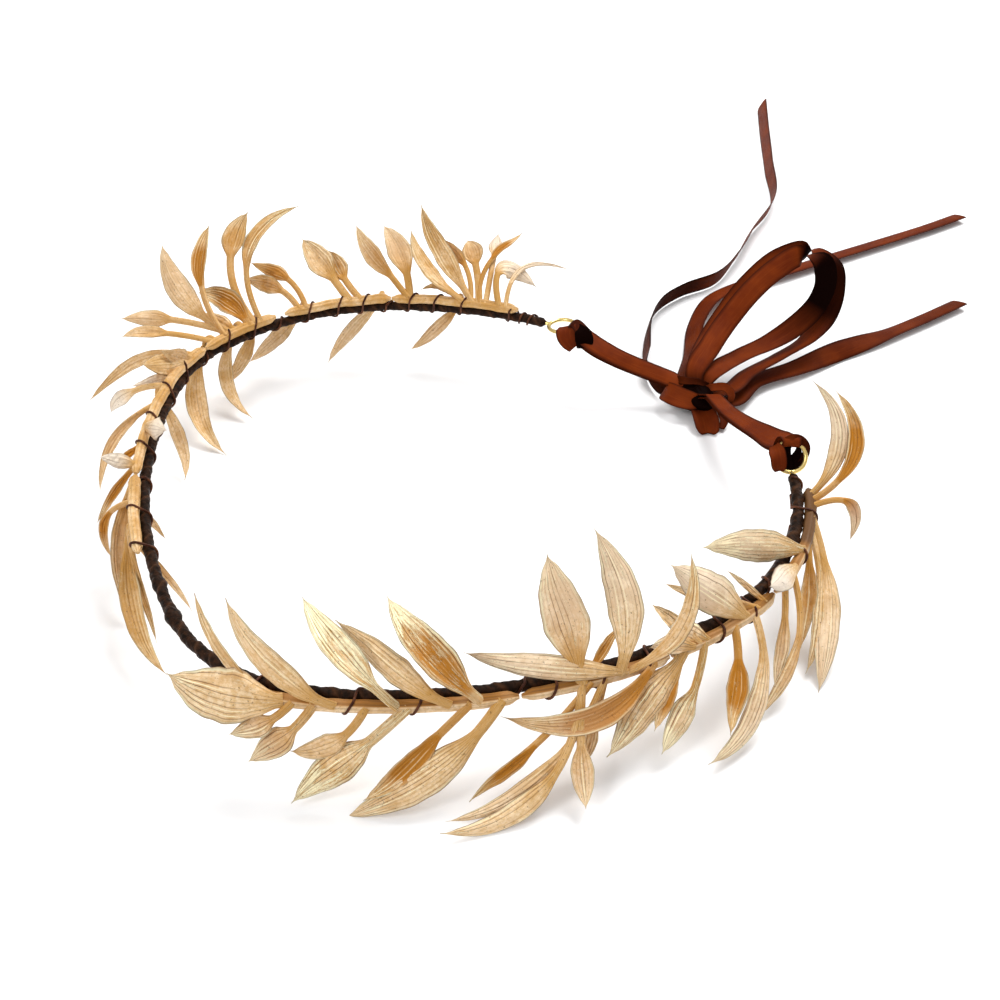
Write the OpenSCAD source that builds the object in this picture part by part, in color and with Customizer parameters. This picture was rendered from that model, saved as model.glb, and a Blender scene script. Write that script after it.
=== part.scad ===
// Laurel wreath crown: an open taped wire hoop with gilded leafy sprigs lashed
// round its outer side and a narrow satin ribbon tied between its two wire eyes.
// Millimetres. Z is up, the surface that the crown rests on is Z = 0, the head's
// axis is the Z axis, the middle of the forehead is at -Y and the bow is at +Y.

/* [Hoop] */
// Radius that the bends of the hoop are shares of
hoop_r = 80; // [72:1:90]
// Thickness of the taped wire
hoop_d = 2.6; // [2.4:0.1:3]
// Extra thickness where the tape is doubled between two bends
hoop_lump = 0.5; // [0.3:0.05:0.5]
// Height of the middle of the hoop above the surface
hoop_z = 20; // [18:0.5:26]

/* [Wire eyes] */
// Diameter of an eye, measured to the middle of its wire
eye_d = 7.6; // [7:0.1:9]
// Thickness of the brass wire
eye_wire = 1.1; // [0.9:0.05:1.3]
// Length of the straight wire between the hoop and an eye
eye_neck = 1.2; // [1:0.1:2.5]
// Tilt of the left eye above the plane of the hoop
left_eye_tilt = 5; // [0:1:30]
// Tilt of the right eye above the plane of the hoop
right_eye_tilt = 50; // [30:1:60]

/* [Stems] */
// Thickness of a sprig's stem at its cut end
stem_d = 2.6; // [2:0.1:3]
// Clearance between a stem and the hoop
stem_gap = 0.35; // [0.3:0.05:0.6]
// Share of its thickness that a stem keeps at its young end
stem_taper = 0.8; // [0.7:0.05:1]

/* [Leaves] */
// Length that the reach of a leaf is a share of
leaf_l = 35; // [30:1:40]
// Width that the width of a leaf is a share of
leaf_w = 8; // [6:0.5:9]
// Thickness of a leaf at its midrib
leaf_t = 1.1; // [1:0.1:1.4]
// Thickness of a leaf's stalk
stalk_d = 1.3; // [1.1:0.1:1.6]

/* [Lashing] */
// Width of a turn of the binding wire
lash_w = 0.8; // [0.6:0.1:1]
// Thickness of a turn of the binding wire
lash_t = 0.5; // [0.4:0.05:0.8]
// Clearance between a turn and what it holds
lash_gap = 0.25; // [0.2:0.05:0.5]

/* [Ribbon] */
// Width of the ribbon
ribbon_w = 6.5; // [6:0.25:7]
// Thickness of the ribbon
ribbon_t = 1; // [0.8:0.1:1.2]
// Width of the ribbon where it is gathered through an eye
gather_w = 2.6; // [2.4:0.1:3]
// Clearance between the gathered ribbon and the wire of an eye
gather_gap = 0.5; // [0.45:0.05:0.6]
// Length of the knot, across the crown
knot_l = 16; // [14:0.5:18]
// Width of the knot, from the head outwards
knot_w = 12; // [10:0.5:14]
// Height of the knot
knot_h = 8.4; // [7:0.2:9]

/* [Hidden] */
gold = "#c9a063";
pale_gold = "#dcc08c";
dark_tape = "#3a261b";
brass = "#c8a13a";
satin = "#6b3420";

// Columns of bends, from the left end of the hoop round the forehead to its
// right end: radius as a share of hoop_r, angle turned.
R = 0;
TURN = 1;
bends = [[1.35, 20],
         [0.80, 52],
         [0.55, 36],
         [1.95, 35],
         [0.55, 56],
         [1.50, 40],
         [0.80, 59]];
// Place of the hoop's left end: share of hoop_r from the axis, angle from +X,
// and how far its heading is turned from the line to the axis.
start_out = 0.93;
start_angle = 130.6;
start_turn = 84;

// Columns of a leaf row. AT is the foot's place along the hoop. ALONG, OUT and
// RISE lead from the foot to the tip: along the growth, away from the head and
// up, as shares of leaf_l, but a falling leaf's RISE is a share of hoop_z, so
// that -1 meets the surface. STALK is the share of the length with no blade,
// WIDE the width as a share of leaf_w, ROLL the turn of the blade about its
// run, CUP its hollow as a share of half its width, BOW its sideways curve and
// LIFT its curve towards or away from the side that the leaves face.
AT = 0;
ALONG = 1;
OUT = 2;
RISE = 3;
STALK = 4;
WIDE = 5;
ROLL = 6;
CUP = 7;
BOW = 8;
LIFT = 9;

left_end_leaves = [
    [0.035, -0.25, 0.20, 0.15, 0.35, 0.75, 15, -0.3, 1.5, 0],
    [0.030, -0.40, 0.45, 0.20, 0.10, 0.20, 0, 0, 0.7, 0],
    [0.050, -0.25, 0.45, 0.45, 0.55, 0.40, 40, 0.4, 0.35, 0],
    [0.045, 0.05, 0.45, 0.45, 0.70, 0.55, 0, -0.3, 0, 0],
    [0.050, 0.20, 0.30, 0.45, 0.60, 0.85, 0, 0.3, -0.1, 0],
    [0.056, 0.35, 0.25, 0.45, 0.50, 0.45, 30, 0.3, -0.3, 0],
    [0.055, 0.60, 0.40, 0.65, 0.15, 0.80, 20, 0.4, 0, 0],
    [0.060, 0.55, 0.15, 0.55, 0.15, 0.65, -30, -0.3, 0.15, 0],
    [0.065, 0.35, 0, 0.10, 0.10, 0.35, 30, -0.2, -0.4, 0],
    [0.100, 0.25, 0.40, 0.50, 0.30, 0.95, 0, 0.35, -0.15, 0],
    [0.101, 0.50, 0.35, 0.50, 0.30, 0.75, 25, 0.4, 0, 0],
    [0.065, 0.40, -0.20, -0.70, 0.10, 0.50, 15, 0.3, 0, -0.2]];
back_leaves = [
    [0.135, 0.20, 0.30, 0.35, 0.45, 0.80, 0, 0.3, 0.1, 0],
    [0.143, 0.30, 0.40, 0.45, 0.35, 1.0, 0, 0.35, 0, 0],
    [0.120, 0.50, -0.15, -0.85, 0.10, 0.55, 20, -0.3, -0.1, -0.2],
    [0.175, 0.50, 0.05, -0.70, 0.10, 0.60, 15, 0.3, 0, -0.2],
    [0.175, 0.30, 0.40, 0.30, 0.45, 0.55, 0, -0.3, -0.35, 0],
    [0.180, 0.30, 0.35, 0.20, 0.40, 0.70, 10, 0.3, -0.3, 0]];
back_left_leaves = [
    [0.210, -0.65, 0.25, 0.80, 0.35, 0.65, 20, 0.4, 0.5, 0],
    [0.215, -0.35, 0.45, 0.75, 0.60, 0.90, 0, 0.3, 0.35, 0],
    [0.240, -0.40, 0.40, 0.75, 0.45, 0.75, 30, 0.5, 0.3, 0],
    [0.235, 0, 0.70, 0.60, 0.25, 0.95, 0, -0.3, 0.25, 0],
    [0.220, 0.15, 0.40, 0.25, 0.10, 0.90, 0, 0.5, -0.3, 0],
    [0.230, 0.10, 0.25, 0.15, 0.10, 0.60, 0, -0.3, 0, 0],
    [0.235, 0.50, 0.65, 0.15, 0.55, 0.65, 0, -0.4, -0.1, 0],
    [0.250, 0.35, 0.60, 0.10, 0.50, 0.55, -20, 0.3, -0.1, 0],
    [0.250, 0.50, -0.55, -0.95, 0.10, 0.80, 25, 0.35, -0.35, -0.2],
    [0.225, 0.25, -0.45, -0.90, 0.10, 0.55, 20, -0.3, -0.4, -0.2],
    [0.210, 0.35, 0, -0.80, 0.10, 0.55, 20, 0.3, 0.1, -0.15]];
left_leaves = [
    [0.270, 0.55, 0.55, -0.40, 0.10, 0.45, 20, 0.3, -0.4, 0],
    [0.280, 0.45, 0, 0.30, 0.10, 0.80, 0, -0.3, 0, 0],
    [0.275, 0.30, -0.05, 0.30, 0.10, 0.65, 20, 0.3, 0, 0],
    [0.310, 0.10, 0.40, -0.20, 0.50, 0.50, 0, 0.4, -0.3, 0],
    [0.295, 0.20, 0.20, 0.05, 0.10, 0.40, 30, -0.3, 0, 0],
    [0.310, 0.35, -0.25, -0.95, 0.10, 0.50, 0, 0.3, 0.1, -0.2],
    [0.330, 0.65, 0.25, -0.50, 0.10, 0.35, 30, 0.4, -0.35, 0],
    [0.355, 0.25, -0.25, 0.20, 0.05, 0.80, 0, -0.4, 0, 0.6],
    [0.375, 0.15, 0.15, 0, 0.10, 0.25, 0, 0.3, 0, 0],
    [0.395, 0.05, 0.20, 0.20, 0.05, 0.50, 0, -0.2, 0, 0],
    [0.395, 0.10, 0.30, -0.60, 0.10, 0.30, 30, 0.3, -0.1, 0]];
left_front_leaves = [
    [0.430, 0, 0.20, -0.70, 0.30, 0.30, 20, 0.3, -0.6, 0],
    [0.410, 0.80, 0.05, -0.95, 0.10, 0.65, 30, 0.4, -0.20, 0],
    [0.420, 0.20, -0.20, -0.40, 0.10, 0.25, 0, 0.2, 0, -0.3],
    [0.451, 1.05, -0.05, -0.70, 0.10, 0.65, 20, 0.3, -0.2, -0.15],
    [0.460, 0.55, -0.05, -0.75, 0.10, 0.25, 0, 0.3, -0.1, -0.15],
    [0.455, 0.30, -0.30, -0.85, 0.10, 0.25, 0, 0.2, 0, -0.2]];
front_left_leaves = [
    [0.620, 0.60, 0.20, 0.25, 0.05, 1.5, 0, -0.35, 0.15, 0.1],
    [0.610, 0.50, -0.20, 0.45, 0.10, 0.45, 30, -0.3, 0.15, 0.2],
    [0.645, 0.65, -0.30, 0.50, 0.10, 0.90, 25, -0.35, 0.2, 0.25],
    [0.675, 0.55, -0.40, 0.50, 0.20, 0.85, -25, 0.35, 0.05, 0.25],
    [0.700, 0.60, -0.50, 0.30, 0.10, 0.85, 20, -0.35, 0.10, 0.35],
    [0.715, 0.50, -0.45, 0.50, 0.10, 1.0, -20, 0.4, 0.05, 0.25],
    [0.625, 0.35, 0.15, -0.30, 0.35, 0.65, 0, -0.3, 0.2, 0.05],
    [0.635, 0.40, 0.15, -0.60, 0.35, 0.80, 0, -0.35, 0.15, 0.05],
    [0.660, 0.45, 0.10, -0.50, 0.35, 0.65, 0, -0.3, 0.3, 0.05],
    [0.680, 0.70, 0.20, -0.90, 0.35, 1.0, 0, -0.35, 0.05, 0.05],
    [0.710, 0.65, 0.25, -0.85, 0.30, 0.70, 20, 0.5, 0, 0.05],
    [0.725, 1.0, 0.20, -0.95, 0.20, 1.0, 0, -0.35, 0.2, 0.1]];
front_right_leaves = [
    [0.765, 0.10, -0.45, 0.65, 0.15, 1.25, 0, 0.3, -0.05, 0.1],
    [0.789, 0.90, -0.42, 0.10, 0.05, 0.70, 0, -0.3, 0, 0.3],
    [0.765, -0.30, -0.20, 0.20, 0.30, 0.30, 0, 0.4, 0, 0.1],
    [0.805, 0.95, -0.15, -0.25, 0.05, 0.75, 15, 0.4, 0.35, 0.25],
    [0.765, 0.15, 0.50, -0.85, 0.50, 0.65, 0, -0.3, -0.05, 0],
    [0.776, 0.20, 0.25, -0.70, 0.50, 0.35, 0, 0.3, 0, -0.1],
    [0.770, 0.85, 0.20, -0.80, 0.50, 0.45, 30, 0.5, 0.1, 0],
    [0.777, 1.10, 0.30, -0.90, 0.35, 0.45, 0, -0.3, 0.25, 0],
    [0.765, 1.0, 0.40, -0.95, 0.40, 0.60, 0, -0.4, 0.4, 0],
    [0.785, 0, -0.45, 0.75, 0.10, 1.0, 0, -0.35, -0.25, 0.2],
    [0.790, -0.45, -0.15, 0.65, 0.10, 0.55, 30, -0.3, -0.35, 0.2]];
right_leaves = [
    [0.864, 0.30, -0.40, 0.35, 0.05, 1.15, 0, -0.35, 0, 0.3],
    [0.874, 0.35, -0.50, 0.10, 0.05, 0.40, 0, 0.2, 0, 0.3],
    [0.832, 0.10, -0.35, 0.10, 0.05, 0.45, 0, 0.4, 0, 0.3],
    [0.828, 0.30, -0.05, 0.10, 0.05, 0.55, 0, -0.3, -0.1, 0.35],
    [0.837, 0.20, -0.15, 0.10, 0.05, 0.55, 0, -0.3, -0.1, 0.25],
    [0.880, 0, -0.30, 0.10, 0.05, 0.20, 0, 0, 0, 0.3],
    [0.822, 0.65, 0.20, -0.70, 0.10, 1.2, 20, -0.35, 0.05, 0.1],
    [0.820, 0.30, 0.20, -0.60, 0.20, 0.50, 0, 0.5, 0, 0],
    [0.835, 0.50, 0.25, -0.80, 0.40, 0.70, 15, -0.3, 0.15, 0],
    [0.855, 0.40, 0.35, -0.70, 0.30, 0.65, 0, 0.5, 0.15, 0],
    [0.870, 0.80, 0.35, -0.95, 0.20, 0.70, 20, -0.3, 0.35, 0]];
right_end_leaves = [
    [0.930, 0.40, -0.60, 0.15, 0.05, 1.0, 0, -0.3, -0.05, 0.45],
    [0.915, 0.45, 0, 0.15, 0.05, 0.75, 0, -0.3, 0, 0.1],
    [0.910, 0.80, 0.15, -0.90, 0.40, 0.45, 20, -0.3, 0.3, 0],
    [0.900, 0.50, 0.20, -0.80, 0.30, 0.40, 0, 0.4, 0.1, 0],
    [0.960, 1.10, 0.15, -0.95, 0.25, 0.85, 0, -0.35, 0.15, 0],
    [0.950, 0.85, 0.15, -0.90, 0.30, 0.45, 20, -0.3, 0.15, 0],
    [0.940, 0.55, 0.10, -0.80, 0.20, 0.50, 0, 0.4, 0.1, 0],
    [0.980, -0.50, 0, 0.65, 0.30, 0.60, 0, -0.3, -0.45, 0.05],
    [0.975, -0.60, 0.15, 0.55, 0.35, 0.55, 0, 0.5, -0.50, 0.05],
    [0.970, 0.10, 0.30, -0.35, 0.50, 0.40, 0, 0.3, 1.0, 0]];

// Columns of stem_rise: place along the hoop, and the angle above the outer side
// that the stems lie at there. They lie over the hoop at the back and beside it
// at the forehead.
stem_rise = [[0.26, 105],
             [0.30, 80],
             [0.36, 60],
             [0.42, 45],
             [0.475, 30],
             [0.60, 0]];

// Straight lengths that a stem's bend is made of.
stem_lengths = 8;

// Columns of blade: place from the stalk to the tip, width, thickness.
PLACE = 0;
BROAD = 1;
THICK = 2;
blade = [[0, 0.16, 1],
         [0.14, 0.62, 1],
         [0.36, 1.0, 1],
         [0.64, 0.82, 0.9],
         [0.86, 0.38, 0.8],
         [1, 0.04, 0.4]];

// Places along the hoop of the lashing's turns.
lashes = [0.012, 0.018, 0.024, 0.080, 0.115, 0.150, 0.195, 0.260, 0.345,
          0.437, 0.470, 0.602, 0.652, 0.684, 0.735, 0.750, 0.845, 0.890, 0.990];

// How far a leaf's foot lies off the stem's middle, as a share of stem_d.
foot_out = 0.35;

// Direction that a leaf with no roll faces, as azimuth from -Y and elevation.
face_az = 60;
face_el = 37;
face = [sin(face_az) * cos(face_el), -cos(face_az) * cos(face_el), sin(face_el)];

// Routes of the ribbon: X, Y and Z of its middle, then the azimuth and the
// elevation that its width points to.
WAY_AZ = 3;
WAY_EL = 4;
left_strand_route = [
    [-40.5, 62.5, 19.5, 115, 10], [-36, 63.5, 18, 120, 15], [-30.5, 68.5, 14.5, 122, 22],
    [-26, 75, 11, 120, 32], [-20.5, 81.5, 8.2, 120, 25]];
right_strand_route = [
    [39, 73.5, 24.8, 80, 28], [34, 74, 22.1, 86, 28], [26, 75.5, 19.5, 84, 22],
    [16.5, 78, 16, 80, 12], [6.5, 81, 12.6, 78, 0], [-6.5, 86, 8.8, 75, -10]];
upper_loop_route = [
    [-18, 88, 9, 50, 0], [-22.5, 96.5, 14, 50, -10], [-26, 105.5, 19, 50, -10],
    [-27, 113.5, 25, 50, -10], [-27, 122, 30, 55, -10], [-25.5, 130, 33, 60, -10],
    [-21, 134, 31.5, 60, -10], [-19.5, 135, 26, 60, 0], [-19, 132.5, 19.5, 60, 0],
    [-19, 125, 14, 50, 0], [-20, 117, 10.5, 30, 0], [-20.5, 107, 8.8, 10, 0],
    [-15, 90.5, 8.4, 0, 0]];
lower_loop_route = [
    [-11.5, 93.8, 5, 0, 10], [-15.5, 106, 5.5, 0, 15], [-16.5, 118, 7, 10, 20],
    [-17, 129.5, 10, 30, 20], [-18.5, 136.5, 15, 50, 10], [-20.5, 140, 21, 60, 0],
    [-23.5, 141, 27, 60, -10], [-30.5, 139, 30, 60, -10], [-35, 130.5, 27.8, 55, -10],
    [-36, 121, 22, 50, -10], [-34.5, 111.5, 15, 50, -10], [-30.5, 102, 9.5, 50, -10],
    [-22, 92, 7, 50, 0]];
left_tail_route = [
    [-21.8, 82.8, 4.2, 160, 40], [-32, 82.5, 3.8, 170, 60], [-42, 88.5, 3.5, 60, 72],
    [-54.5, 98, 3.5, 55, 75], [-65.5, 110.5, 3.5, 30, 75], [-69, 121.5, 3.5, 10, 72],
    [-70, 135, 3.5, 10, 74], [-79, 151, 3.7, 40, 84], [-92, 168, 3.7, 50, 84],
    [-106, 188, 3.5, 50, 75], [-133, 208, 3.4, 50, 68], [-160, 227.5, 3.3, 50, 64],
    [-183, 244.5, 3.3, 50, 62]];
middle_tail_route = [
    [-22, 88.5, 4, 60, 45], [-37, 101.5, 3.6, 50, 42], [-50, 113, 3.2, 40, 30],
    [-60.5, 127.5, 3, 25, 15], [-64, 144.5, 2.4, 5, 10], [-64.5, 163.5, 2, 0, 10],
    [-65, 182, 1.8, 0, 11], [-65.5, 208, 1.6, 0, 12], [-66, 226.5, 1.5, 0, 13],
    [-67, 242, 1.5, 0, 13]];
right_tail_route = [
    [-9.5, 93, 3, 0, 0], [-14.5, 107.5, 2.6, 5, 0], [-14.5, 123.5, 2.4, 0, -8],
    [-15.5, 141, 2.5, 0, -34], [-16, 150.5, 2.2, 0, -18], [-17, 162.5, 1.7, 5, 8],
    [-18.5, 179, 1.5, 5, 13], [-20.5, 196, 1.5, 5, 14]];

// Corners of the ribbon's section, as shares of its width and thickness.
ribbon_section = [[-0.5, 0.2], [-0.4, 0.5], [0.4, 0.5], [0.5, 0.2],
                  [0.5, -0.2], [0.4, -0.5], [-0.4, -0.5], [-0.5, -0.2]];

// Place of the knot's middle, and the height of its underside.
knot_x = -14;
knot_y = 86;
knot_rest = 0.4;

// Unit vector along v.
function unit(v) = v / norm(v);
// Heading in degrees to a direction in the plane.
function way(h) = [cos(h), sin(h), 0];
function quarter_turn(h) = [sin(h), -cos(h), 0];

// The place and heading after a bend of radius r through an angle.
function bend_end(p, r, turn) = [p[0] + r * (sin(p[2] + turn) - sin(p[2])),
                                 p[1] - r * (cos(p[2] + turn) - cos(p[2])),
                                 p[2] + turn];
function bend_length(b) = hoop_r * b[R] * b[TURN] * PI / 180;
function bend_start(i) = i == 0
    ? [hoop_r * start_out * cos(start_angle), hoop_r * start_out * sin(start_angle),
       start_angle + start_turn]
    : bend_end(bend_start(i - 1), hoop_r * bends[i - 1][R], bends[i - 1][TURN]);
starts = [for (i = [0 : len(bends)]) bend_start(i)];
function run_to(i) = i == 0 ? 0 : run_to(i - 1) + bend_length(bends[i - 1]);
runs = [for (i = [0 : len(bends)]) run_to(i)];
hoop_run = runs[len(bends)];
function bend_at(d) = max([for (i = [0 : len(bends) - 1]) if (i == 0 || runs[i] <= d) i]);
// Place and heading of the hoop at a share of its length.
function hoop_at(s) = let (d = s * hoop_run, i = bend_at(d))
    bend_end(starts[i], hoop_r * bends[i][R], (d - runs[i]) / bend_length(bends[i]) * bends[i][TURN]);

stem_out = hoop_d / 2 + stem_gap + stem_d / 2;
// A point beside the hoop at a share of its length, as far out as given and at
// an angle above the way that leads out from the head.
function beside_hoop(s, far, rise) = let (h = hoop_at(s))
    [h[0], h[1], hoop_z] + (quarter_turn(h[2]) * cos(rise) + [0, 0, sin(rise)]) * far;
// Middle of the stem that runs beside the hoop at a share of its length.
function stem_at(s) = beside_hoop(s, stem_out, lookup(s, stem_rise));

// A point of the curve that leaves p for q and is drawn towards c.
function curve_point(p, c, q, t) = p * (1 - t) * (1 - t) + c * 2 * t * (1 - t) + q * t * t;
function curve_way(p, c, q, t) = unit((c - p) * (1 - t) + (q - c) * t);

// Foot, middle handle and tip of a leaf on a stem that grows by dir along the
// hoop. The reach is measured from the hoop's outer side, and a leaf with a LIFT
// below 0 starts there too, behind the hoop, where its stalk leads it.
function leaf_curve(leaf, dir) = let (
        heading = hoop_at(leaf[AT])[2],
        outer = beside_hoop(leaf[AT], stem_out, 0),
        foot = leaf[LIFT] < 0
            ? beside_hoop(leaf[AT], stem_out + foot_out * stem_d, 0)
            : stem_at(leaf[AT]) + face * foot_out * stem_d,
        fall = leaf[RISE] < 0 ? hoop_z : leaf_l,
        reach = way(heading) * dir * leaf[ALONG] * leaf_l
            + quarter_turn(heading) * leaf[OUT] * leaf_l + [0, 0, leaf[RISE] * fall],
        tip = outer + reach,
        left = unit(cross(face, reach)))
    [foot, (foot + tip) / 2 + (left * leaf[BOW] + face * leaf[LIFT]) * norm(reach), tip];

// Four corners of a leaf's section: left edge, hollow side, right edge, back.
function leaf_corners(curve, t, half, thick, roll, cup) = let (
        middle = curve_point(curve[0], curve[1], curve[2], t),
        run = curve_way(curve[0], curve[1], curve[2], t),
        flat_side = unit(cross(run, face)),
        flat_front = cross(flat_side, run),
        side = flat_side * cos(roll) + flat_front * sin(roll),
        front = flat_front * cos(roll) - flat_side * sin(roll),
        edge = front * cup * half)
    [middle - side * half + edge, middle + front * thick / 2,
     middle + side * half + edge, middle - front * thick / 2];

// A solid through rings of corners, closed at both ends.
module skin(rings) {
    n = len(rings[0]);
    points = [for (ring = rings) for (p = ring) p];
    sides = [for (i = [0 : len(rings) - 2]) for (j = [0 : n - 1])
        let (a = i * n + j, b = i * n + (j + 1) % n)
        each [[a, a + n, b], [b, a + n, b + n]]];
    ends = [[for (j = [0 : n - 1]) j], [for (j = [n - 1 : -1 : 0]) (len(rings) - 1) * n + j]];
    polyhedron(points, concat(sides, ends), convexity = 10);
}

// One leaf, with its stalk set into the stem.
module leaf(row, dir) {
    curve = leaf_curve(row, dir);
    half = row[WIDE] * leaf_w / 2;
    stalk_half = min(stalk_d / 2, half);
    rise = lookup(row[AT], stem_rise);
    wrap = row[LIFT] < 0
        ? [stem_at(row[AT]), beside_hoop(row[AT], stem_out + foot_out * stem_d, rise / 2)]
        : [];
    wrap_rings = [for (i = [0 : 1 : len(wrap) - 1])
        let (run = (i == 0 ? wrap[1] : curve[0]) - wrap[0])
        leaf_corners([wrap[i] - run, wrap[i], wrap[i] + run], 0.5,
                     stalk_half, stalk_d, row[ROLL], 0)];
    foot_ring = leaf_corners(curve, 0, stalk_half, stalk_d, row[ROLL], 0);
    blade_rings = [for (b = blade)
        let (t = row[STALK] + (1 - row[STALK]) * b[PLACE])
        leaf_corners(curve, t, max(b[BROAD] * half, b[PLACE] == 0 ? stalk_half : 0),
                     b[THICK] * leaf_t, row[ROLL], b[PLACE] == 0 ? 0 : row[CUP])];
    skin(concat(wrap_rings, [foot_ring], blade_rings));
}

// Six corners of a stem's section, at a share k of the way to its young end.
function stem_corners(from, to, k) = let (
        s = from + (to - from) * k,
        out = quarter_turn(hoop_at(s)[2]),
        r = stem_d / 2 * (1 - (1 - stem_taper) * k))
    [for (j = [0 : 5]) stem_at(s) + (out * cos(j * 60) + [0, 0, sign(to - from) * sin(j * 60)]) * r];

// A tapered stem beside the hoop, in short straight lengths that share their ends.
module stem(from, to) {
    for (i = [0 : stem_lengths - 1])
        hull() skin([stem_corners(from, to, i / stem_lengths),
                     stem_corners(from, to, (i + 1) / stem_lengths)]);
}

module sprig(from, to, leaves) {
    color(pale_gold) stem(from, to);
    color(gold) for (row = leaves) leaf(row, sign(to - from));
}

module hoop() {
    color(dark_tape)
    for (i = [0 : len(bends) - 1]) {
        r = hoop_r * bends[i][R];
        translate([starts[i][0] - r * sin(starts[i][2]), starts[i][1] + r * cos(starts[i][2]), hoop_z])
        rotate([0, 0, starts[i][2] - 90])
        rotate_extrude(angle = bends[i][TURN], $fn = 72)
        translate([r, 0]) circle(d = hoop_d, $fn = 24);
        if (i > 0)
            translate([starts[i][0], starts[i][1], hoop_z]) sphere(d = hoop_d + hoop_lump, $fn = 24);
    }
}

// Places what is drawn along +X from an eye's neck at an end of the hoop.
module at_end(s, turn) {
    h = hoop_at(s);
    translate([h[0], h[1], hoop_z]) rotate([0, 0, h[2] + turn]) children();
}

// A ring of wire on a short neck, tilted up about the neck's end.
module eye(s, turn, tilt) {
    color(brass)
    at_end(s, turn) {
        rotate([0, 90, 0]) cylinder(d = eye_wire, h = eye_neck, $fn = 24);
        translate([eye_neck, 0, 0]) sphere(d = eye_wire, $fn = 24);
        translate([eye_neck, 0, 0]) rotate([0, -tilt, 0]) translate([eye_d / 2, 0, 0])
        rotate_extrude($fn = 48) translate([eye_d / 2, 0]) circle(d = eye_wire, $fn = 24);
    }
}

// A ring of gathered ribbon round the far side of an eye.
module gather(s, turn, tilt) {
    inner = eye_wire / 2 + gather_gap;
    at_end(s, turn)
    translate([eye_neck, 0, 0]) rotate([0, -tilt, 0]) translate([eye_d, 0, 0])
    rotate([90, 0, 0])
    difference() {
        cylinder(r = inner + ribbon_t, h = gather_w, center = true, $fn = 32);
        cylinder(r = inner, h = gather_w + 1, center = true, $fn = 32);
    }
}

// Flat ribbon swept along a route, with eight sides.
module ribbon(route) {
    n = len(route);
    skin([for (i = [0 : n - 1])
        let (p = [route[i][0], route[i][1], route[i][2]],
             a = route[max(i - 1, 0)],
             b = route[min(i + 1, n - 1)],
             run = unit([b[0] - a[0], b[1] - a[1], b[2] - a[2]]),
             wish = [cos(route[i][WAY_AZ]) * cos(route[i][WAY_EL]),
                     sin(route[i][WAY_AZ]) * cos(route[i][WAY_EL]), sin(route[i][WAY_EL])],
             up = unit(cross(wish, run)),
             side = cross(run, up))
        [for (q = ribbon_section) p + side * q[0] * ribbon_w + up * q[1] * ribbon_t]]);
}

// One turn of wire round the hoop and the stem beside it.
module lash(s) {
    h = hoop_at(s);
    r = max(hoop_d, stem_d) / 2 + lash_gap;
    translate([h[0], h[1], hoop_z]) rotate([0, 0, h[2] - 90]) rotate([90, 0, 0])
    linear_extrude(lash_w, center = true)
    rotate([0, 0, lookup(s, stem_rise)])
    difference() {
        lash_outline(r + lash_t);
        lash_outline(r);
    }
}

// Two round ends and a straight middle, about the hoop and the stem.
module lash_outline(r) {
    circle(r = r, $fn = 32);
    translate([stem_out, 0]) circle(r = r, $fn = 32);
    translate([0, -r]) square([stem_out, 2 * r]);
}

module binding_wire() {
    color(dark_tape) for (s = lashes) lash(s);
}

module left_strand() {
    color(satin) {
        gather(0, 180, left_eye_tilt);
        ribbon(left_strand_route);
    }
}

module right_strand() {
    color(satin) {
        gather(1, 0, right_eye_tilt);
        ribbon(right_strand_route);
    }
}

module bow_knot() {
    color(satin)
    translate([knot_x, knot_y, knot_rest + knot_h / 2])
    scale([knot_l, knot_w, knot_h]) sphere(d = 1, $fn = 20);
}

hoop();
eye(0, 180, left_eye_tilt);  // left_eye
eye(1, 0, right_eye_tilt);  // right_eye
sprig(0.022, 0.112, left_end_leaves);  // left_end_sprig
sprig(0.115, 0.19, back_leaves);  // back_sprig
sprig(0.2, 0.258, back_left_leaves);  // back_left_sprig
sprig(0.262, 0.402, left_leaves);  // left_sprig
sprig(0.407, 0.475, left_front_leaves);  // left_front_sprig
sprig(0.732, 0.6, front_left_leaves);  // front_left_sprig
sprig(0.812, 0.736, front_right_leaves);  // front_right_sprig
sprig(0.887, 0.816, right_leaves);  // right_sprig
sprig(0.985, 0.892, right_end_leaves);  // right_end_sprig
binding_wire();
left_strand();
right_strand();
bow_knot();
color(satin) ribbon(upper_loop_route);  // upper_loop
color(satin) ribbon(lower_loop_route);  // lower_loop
color(satin) ribbon(left_tail_route);  // left_tail
color(satin) ribbon(middle_tail_route);  // middle_tail
color(satin) ribbon(right_tail_route);  // right_tail
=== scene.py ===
"""Dresses the laurel wreath crown: gilded dry foliage lashed to a taped hoop, and a satin bow.

Shapes are worked out in millimetres and put into the meshes in metres."""
import math
import bpy
import numpy as np
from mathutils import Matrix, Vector


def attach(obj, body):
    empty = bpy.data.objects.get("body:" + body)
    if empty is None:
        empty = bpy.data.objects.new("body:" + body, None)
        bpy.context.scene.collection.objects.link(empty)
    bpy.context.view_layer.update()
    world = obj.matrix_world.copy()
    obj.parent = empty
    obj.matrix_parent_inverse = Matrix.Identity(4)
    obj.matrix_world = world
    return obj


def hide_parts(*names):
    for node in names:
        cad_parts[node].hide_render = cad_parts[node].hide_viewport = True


bl_info = {
    "name": "Laurel wreath crown",
    "version": (1, 0, 0),
    "blender": (4, 5, 0),
    "location": "3D View > Sidebar > Wreath",
    "description": "Makes the foliage, hoop, lashing, eyes, ribbon and stage of a laurel wreath crown",
    "category": "Object",
}

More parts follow.
